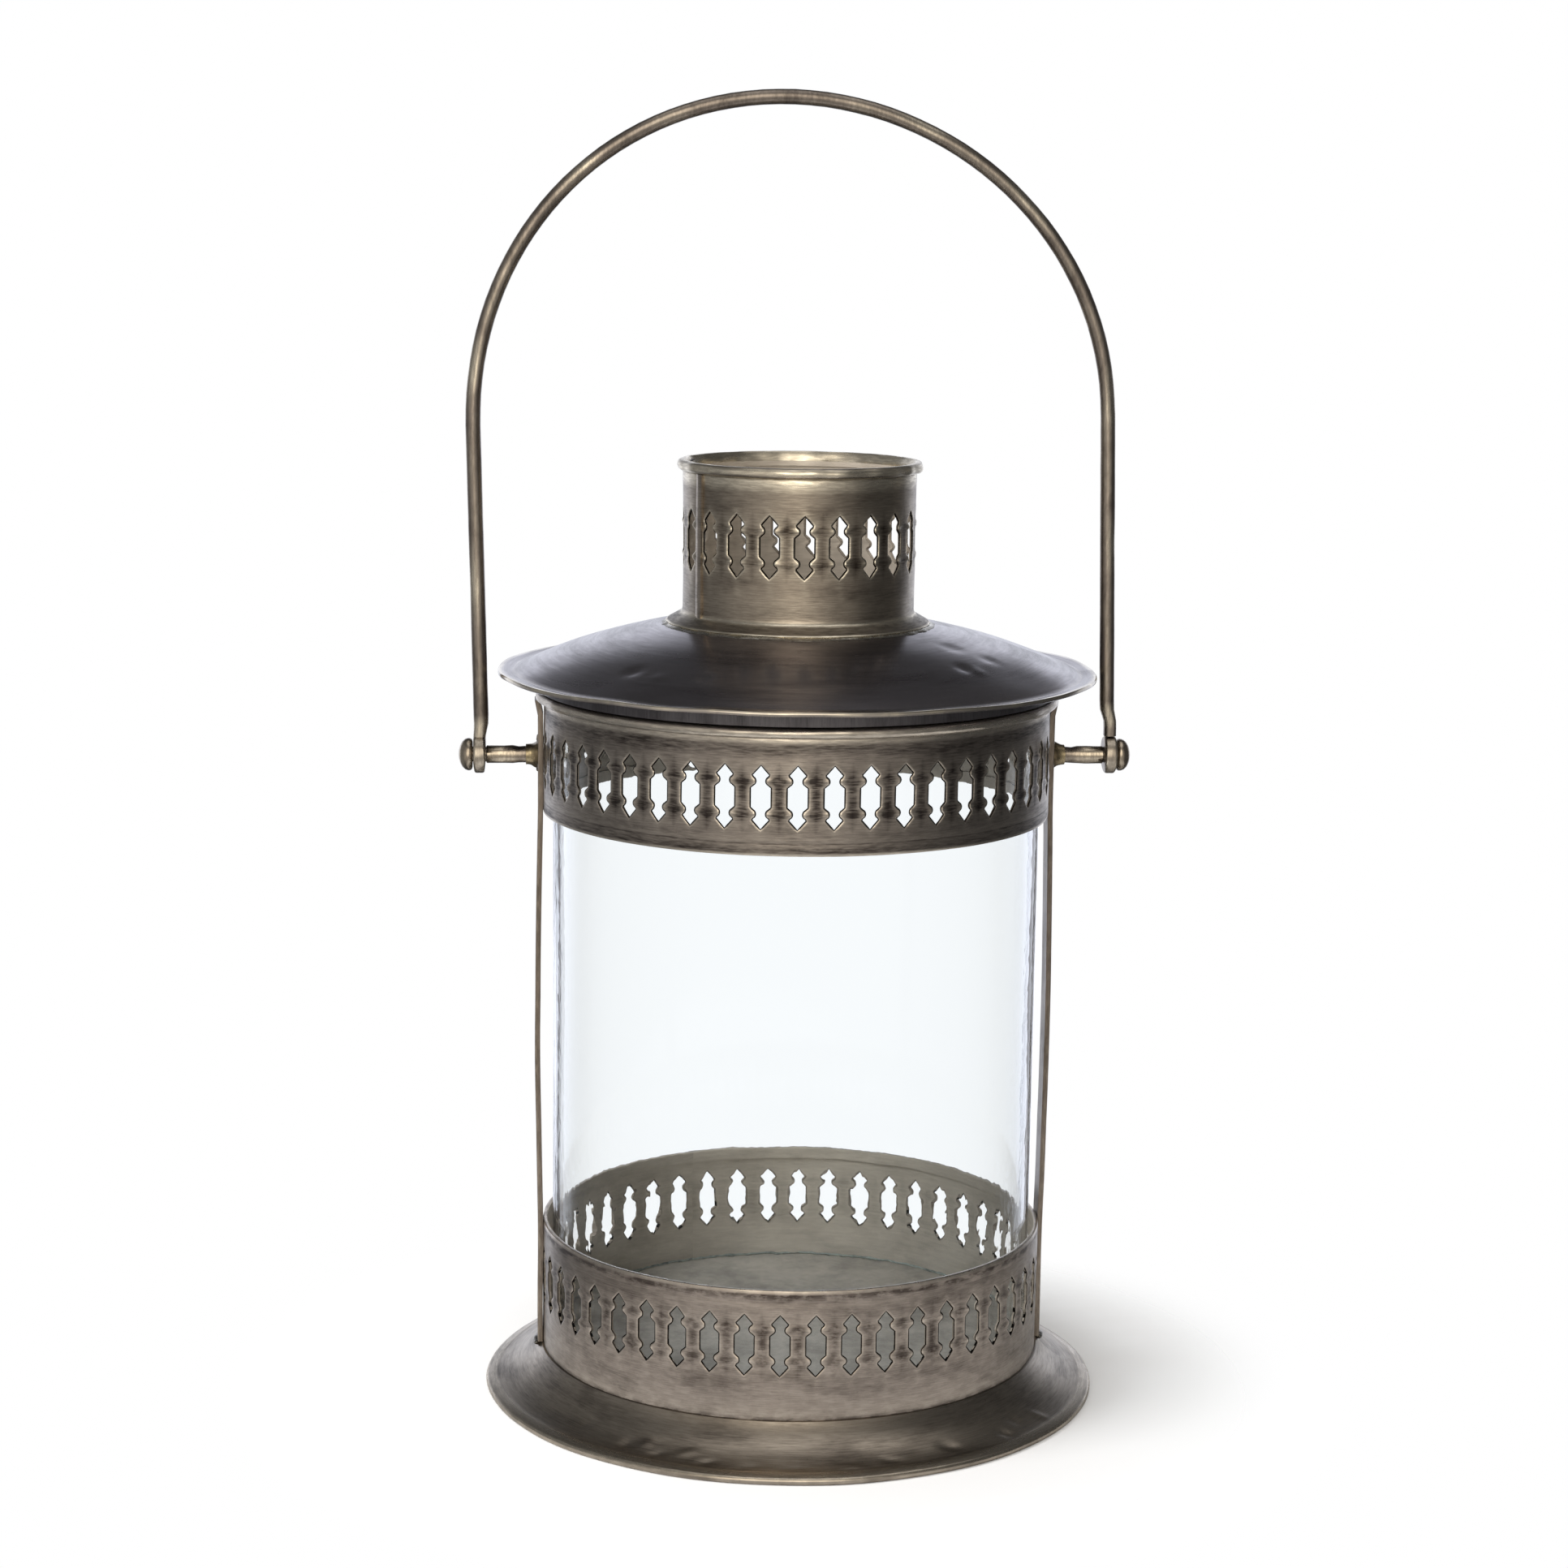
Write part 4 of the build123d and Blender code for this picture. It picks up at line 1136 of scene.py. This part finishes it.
def makePin(side, name, node, seed):
    sizes = pinSizes
    start, end = postStart / mm, headEnd / mm
    headStart, shoulder = end - sizes["headStart"], end - sizes["shoulder"]
    profile = [(sizes["tip"], start)] + pointsFrom(sizes["post"], start, sizes["postShape"])
    profile += pointsFrom(sizes["post"], shoulder, sizes["shoulderShape"])
    profile += [(sizes["spigot"], shoulder), (sizes["spigot"], headStart)]
    profile += pointsFrom(sizes["head"], headStart, sizes["headShape"])
    profile += [(sizes["tip"], end, sizes["tipWear"])]
    pin = lathe(name, profile, sizes["sides"])
    bpy.ops.object.mode_set(mode="EDIT")
    bpy.ops.mesh.select_all(action="DESELECT")
    bpy.ops.mesh.select_non_manifold(extend=False)
    bpy.ops.mesh.fill_holes(sides=0)
    bpy.ops.object.mode_set(mode="OBJECT")
    unsettle(pin, sizes["lumps"], sizes["lumpWave"], seed,
             lambda place: 1.0 if place.z < shoulder * mm else sizes["headLumps"])
    layOnPin(pin, side)
    faceOut(pin, Vector((side * 0.5 * (postStart + headEnd), 0, pivotHeight)))
    finishPiece(pin, turnedPinSteel, "cage", [node], edge=50)


dropShape = {"divisions": 3, "lumps": 0.22, "waves": 1.6}


def solderDrop(name, place, size, seed):
    # one lump of run metal; size is its half width along each axis
    clearSelection()
    bpy.ops.mesh.primitive_ico_sphere_add(subdivisions=dropShape["divisions"], radius=1)
    drop = bpy.context.object
    drop.name = drop.data.name = name
    for layer in ("wear", "patina"):
        drop.data.attributes.new(layer, "FLOAT", "POINT")
    for vert in drop.data.vertices:
        swell = 1 + dropShape["lumps"] * noise.noise(dropShape["waves"] * vert.co + Vector((seed, 0, seed)))
        vert.co = Vector(place) + Vector([swell * vert.co[axis] * size[axis] * mm for axis in range(3)])
    return drop


brazeSizes = {
    "length": 4.2, "foot": 4.8, "tip": 3.35, "bore": 3.0, "hollow": 2.2, "gap": 0.02, "tipRound": 0.1,
    "tipWear": 0.5, "steps": 8, "sides": 40, "lumps": 0.9, "lumpWave": 3.2, "lumpFrom": 3.1, "lumpRamp": 0.8,
    # a bead of braze that ran up the strip, and one below: place from the post's start, half widths
    "runs": {"Run": ((0.1, -1.0, 5.4), (0.7, 1.2, 1.5)), "Spot": ((0.1, 2.2, -4.9), (0.8, 1.5, 1.4))},
}


def makeBraze(side, name, node, seed):
    sizes = brazeSizes
    strip = postStart / mm
    start, tip = strip + sizes["gap"], strip + sizes["length"] + sizes["tipRound"]
    profile = []
    for step in range(sizes["steps"] + 1):
        share = step / sizes["steps"]
        reach = sizes["tip"] + (sizes["foot"] - sizes["tip"]) * (1 - share) ** sizes["hollow"]
        profile.append((reach, start + share * sizes["length"], sizes["tipWear"] * share))
    profile += [(sizes["bore"], tip), (sizes["bore"], start)]
    braze = lathe(name, profile, sizes["sides"], closed=True)
    unsettle(braze, sizes["lumps"], sizes["lumpWave"], seed,
             lambda place: rampUp(math.hypot(*place.xy) / mm, sizes["lumpFrom"], sizes["lumpRamp"]))
    layOnPin(braze, side)
    faceOut(braze, Vector((side * postStart, 0, pivotHeight)))
    runs = []
    for number, (runName, ((out, across, up), size)) in enumerate(sizes["runs"].items()):
        place = Vector((side * (postStart + out * mm), across * mm, pivotHeight + up * mm))
        runs.append(solderDrop(name + runName, place, size, seed + number))
    braze = joinPieces([braze, *runs], name)
    finishPiece(braze, agedBraze, "cage", [node], edge=60)


footSolderSizes = {
    "inset": 0.1, "rise": 0.35,  # shares of the room that the solder has
    "drop": (1.7, 3.9, 1.3), "spot": (0.8, 1.2, 0.8), "spotPlace": (0.3, -3.2, 0.2), "spotSeed": 2,
}


def makeFootSolder(side, name, node, seed):
    sizes = footSolderSizes
    low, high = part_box("right_foot_solder")
    reach = low.x + sizes["inset"] * (high.x - low.x)
    middle = Vector((side * reach, 0, low.z + sizes["rise"] * (high.z - low.z)))
    out, across, up = sizes["spotPlace"]
    drop = solderDrop(name, middle, sizes["drop"], seed)
    spot = solderDrop(name + "Spot", middle + Vector((side * out, across, up)) * mm, sizes["spot"],
                      seed + sizes["spotSeed"])
    drop = joinPieces([drop, spot], name)
    finishPiece(drop, greySolder, "cage", [node], edge=60)


for side, sideName in ((1, "right"), (-1, "left")):
    makeUpright(side, sideName + "Upright", sideName + "_upright", 3.0 + side)
    makePin(side, sideName + "PivotPin", sideName + "_pivot_pin", 6.0 + side)
    makeBraze(side, sideName + "PinBraze", sideName + "_pin_braze", 8.0 + side)
    makeFootSolder(side, sideName + "FootSolder", sideName + "_foot_solder", 11.0 + side)


chimneySolderSizes = {
    "inner": 44.0, "outer": 45.6, "sides": 180, "lumps": 0.7, "lumpWave": 3.0, "seed": 31.0,
    # reach, height and wear: against the flange, over the top, and down to the roof
    "back": ((0.0, 0.2),), "top": ((0.0, -0.3, 0.8), (0.5, -0.45, 1.0), (0.9, -0.75, 0.6)),
    "foot": ((0.0, 0.02), (0.0, -0.25)),
}


def makeChimneySolder(sizes):
    low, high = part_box("chimney_solder")
    profile = pointsFrom(sizes["inner"], low.z / mm, sizes["back"])
    profile += pointsFrom(sizes["inner"], high.z / mm, sizes["top"])
    profile += pointsFrom(sizes["outer"], low.z / mm, sizes["foot"])
    ring = lathe("chimneySolder", profile, sizes["sides"], closed=True)
    faceOut(ring, Vector((0, 0, low.z - 0.05)))
    unsettle(ring, sizes["lumps"], sizes["lumpWave"], sizes["seed"])
    finishPiece(ring, greySolder, "lid", ["chimney_solder"], edge=60)


makeChimneySolder(chimneySolderSizes)


bailSizes = {
    "halfSpan": 105.4, "legHeight": 112.2, "lean": 1.4, "rod": 2.5, "inset": 0.9, "sides": 16, "legSteps": 16,
    "archSteps": 64, "crownLeft": 3.2, "crownDrop": 0.3,
    # the forged end: heights of its rows, where it begins, how long it takes to flatten, width, squareness
    "tabRows": (4.0, 6.5, 9.0, 11.0, 13.0, 16.0), "flatFrom": 14.0, "flatRamp": 6.0, "tabWidth": 4.6,
    "tabSquare": 0.18,
    "eye": 6.4, "eyeThickness": 4.1, "eyeSides": 36, "bore": 2.55,
    # reach, height and wear of one face of the eye: its mouth from the bore, its edge from the outside
    "mouth": ((0.0, 0.2), (0.2, 0.0)), "rim": ((-0.5, 0.0, 0.3), (-0.1, 0.35, 0.8), (0.0, 0.9, 0.4)),
    # below the pin the eye is drawn thinner, and filed flat underneath
    "thinFrom": 2.0, "thinRamp": 4.4, "thinner": 0.2, "filed": 0.25,
    "rough": 0.07, "roughWave": 5.0, "shine": 0.05, "shineSpread": 0.5, "shineWave": 9.0, "shineRound": 0.7,
    # bruises of the rod: share of the way along it, length, depth
    "bruises": ((0.10, 7, 0.35), (0.23, 9, 0.4), (0.37, 6, 0.35), (0.585, 8, 0.5), (0.66, 6, 0.3),
                (0.79, 9, 0.45), (0.88, 6, 0.3)),
    "bruiseFacing": (0.6, -0.8), "bruiseShine": 1.2,
}


def bailPath(sizes):
    # centre line from the left eye over the arch to the right one, in mm about the pins' middle
    span, leg, lean = sizes["halfSpan"], sizes["legHeight"], math.radians(sizes["lean"])
    legSteps, archSteps, tabTop = sizes["legSteps"], sizes["archSteps"], sizes["tabRows"][-1]
    plain = [(-span, up) for up in sizes["tabRows"]]
    plain += [(-span, tabTop + (leg - tabTop) * step / legSteps) for step in range(1, legSteps + 1)]
    arch = []
    for step in range(1, archSteps):
        swing = math.pi * (1 - step / archSteps)
        arch.append((span * math.cos(swing) - sizes["crownLeft"] * math.sin(swing) ** 2,
                     leg + span * math.sin(swing) - sizes["crownDrop"] * math.sin(swing) ** 2))
    plain = plain + arch + [(-across, up) for across, up in reversed(plain)]
    cosine, sine = math.cos(lean), math.sin(lean)
    return [Vector((across * cosine - up * sine, across * sine + up * cosine)) for across, up in plain]


def bailRings(sizes):
    # rings of the rod along its path, with their wear
    path = bailPath(sizes)
    lengths = [0.0]
    for before, after in zip(path, path[1:]):
        lengths.append(lengths[-1] + (after - before).length)
    eyeMiddle = sizes["halfSpan"] + sizes["inset"]
    rod, shineRound = sizes["rod"], sizes["shineRound"]
    faceAcross, faceDeep = sizes["bruiseFacing"]
    rings = []
    for number, point in enumerate(path):
        gone = lengths[number]
        along = (path[min(number + 1, len(path) - 1)] - path[max(number - 1, 0)]).normalized()
        outward = Vector((-along.y, along.x))
        fromEnd = min(gone, lengths[-1] - gone) + sizes["tabRows"][0]
        flat = max(0.0, min(1.0, (sizes["flatFrom"] - fromEnd) / sizes["flatRamp"]))
        flat = flat * flat * (3 - 2 * flat)
        side = 1 if number > len(path) / 2 else -1
        if flat:  # forged flat towards the eye, and set out from the rod
            point = Vector((point.x + (side * eyeMiddle - point.x) * flat, point.y))
            outward = Vector((outward.x + (side - outward.x) * flat, outward.y * (1 - flat)))
        reach = rod + flat * (0.5 * sizes["eyeThickness"] - rod)
        width = rod + flat * (0.5 * sizes["tabWidth"] - rod)
        places, wear = [], []
        for corner in range(sizes["sides"]):
            swing = math.tau * corner / sizes["sides"]
            across, deep = math.cos(swing), math.sin(swing)
            squared = 1 + sizes["tabSquare"] * flat * math.sin(2 * swing) ** 2
            rough = sizes["rough"] * noise.noise(Vector((gone / sizes["roughWave"], across, deep)))
            spot = Vector((gone / sizes["shineWave"], shineRound * across, shineRound * deep))
            bright = sizes["shine"] + sizes["shineSpread"] * noise.noise(spot)
            for share, length, depth in sizes["bruises"]:
                near = (gone - share * lengths[-1]) / length
                facing = max(0.0, faceDeep * deep + faceAcross * across)
                mark = math.exp(-near * near) * facing ** 3
                rough -= depth * mark
                bright += sizes["bruiseShine"] * mark
            if 0.05 < flat < 0.95 and deep < -0.2:  # filed bright just above the eye, in front
                bright = 1.0
            place = Vector((point.x, 0, point.y))
            place += Vector((outward.x, 0, outward.y)) * ((reach * squared + rough) * across)
            place += Vector((0, (width * squared + rough) * deep, 0))
            places.append(place * mm + Vector((0, 0, pivotHeight)))
            wear.append(max(0.0, min(1.0, bright)))
        rings.append((places, wear))
    return rings


def makeEye(sizes, side):
    middle = sizes["halfSpan"] + sizes["inset"]
    near = pointsFrom(sizes["bore"], 0.0, sizes["mouth"]) + pointsFrom(sizes["eye"], 0.0, sizes["rim"])
    far = [(reach, -rise, *wear) for reach, rise, *wear in reversed(near)]
    half = 0.5 * sizes["eyeThickness"]
    profile = pointsFrom(0.0, middle - half, near) + pointsFrom(0.0, middle + half, far)
    eye = lathe("eye", profile, sizes["eyeSides"], closed=True)
    layOnPin(eye, side)
    for vert in eye.data.vertices:
        below = (pivotHeight - vert.co.z) / mm - sizes["thinFrom"]
        if below > 0:
            vert.co.x += (side * middle * mm - vert.co.x) * sizes["thinner"] * below / sizes["thinRamp"]
            lowest = sizes["eye"] - sizes["filed"]
            vert.co.z = pivotHeight - min(below + sizes["thinFrom"], lowest) * mm
    faceOut(eye, Vector((side * middle * mm, 0, pivotHeight)))
    return eye


def makeBail(sizes):
    rod = drawRings("bail", bailRings(sizes), capped=True)
    bpy.ops.object.mode_set(mode="OBJECT")
    faceOut(rod, Vector((0, 0, 0.3)))
    bail = joinPieces([rod, makeEye(sizes, 1), makeEye(sizes, -1)], "bailRod")
    finishPiece(bail, forgedRod, "bail", ["bail"], edge=45)


makeBail(bailSizes)
print("pieces ready")
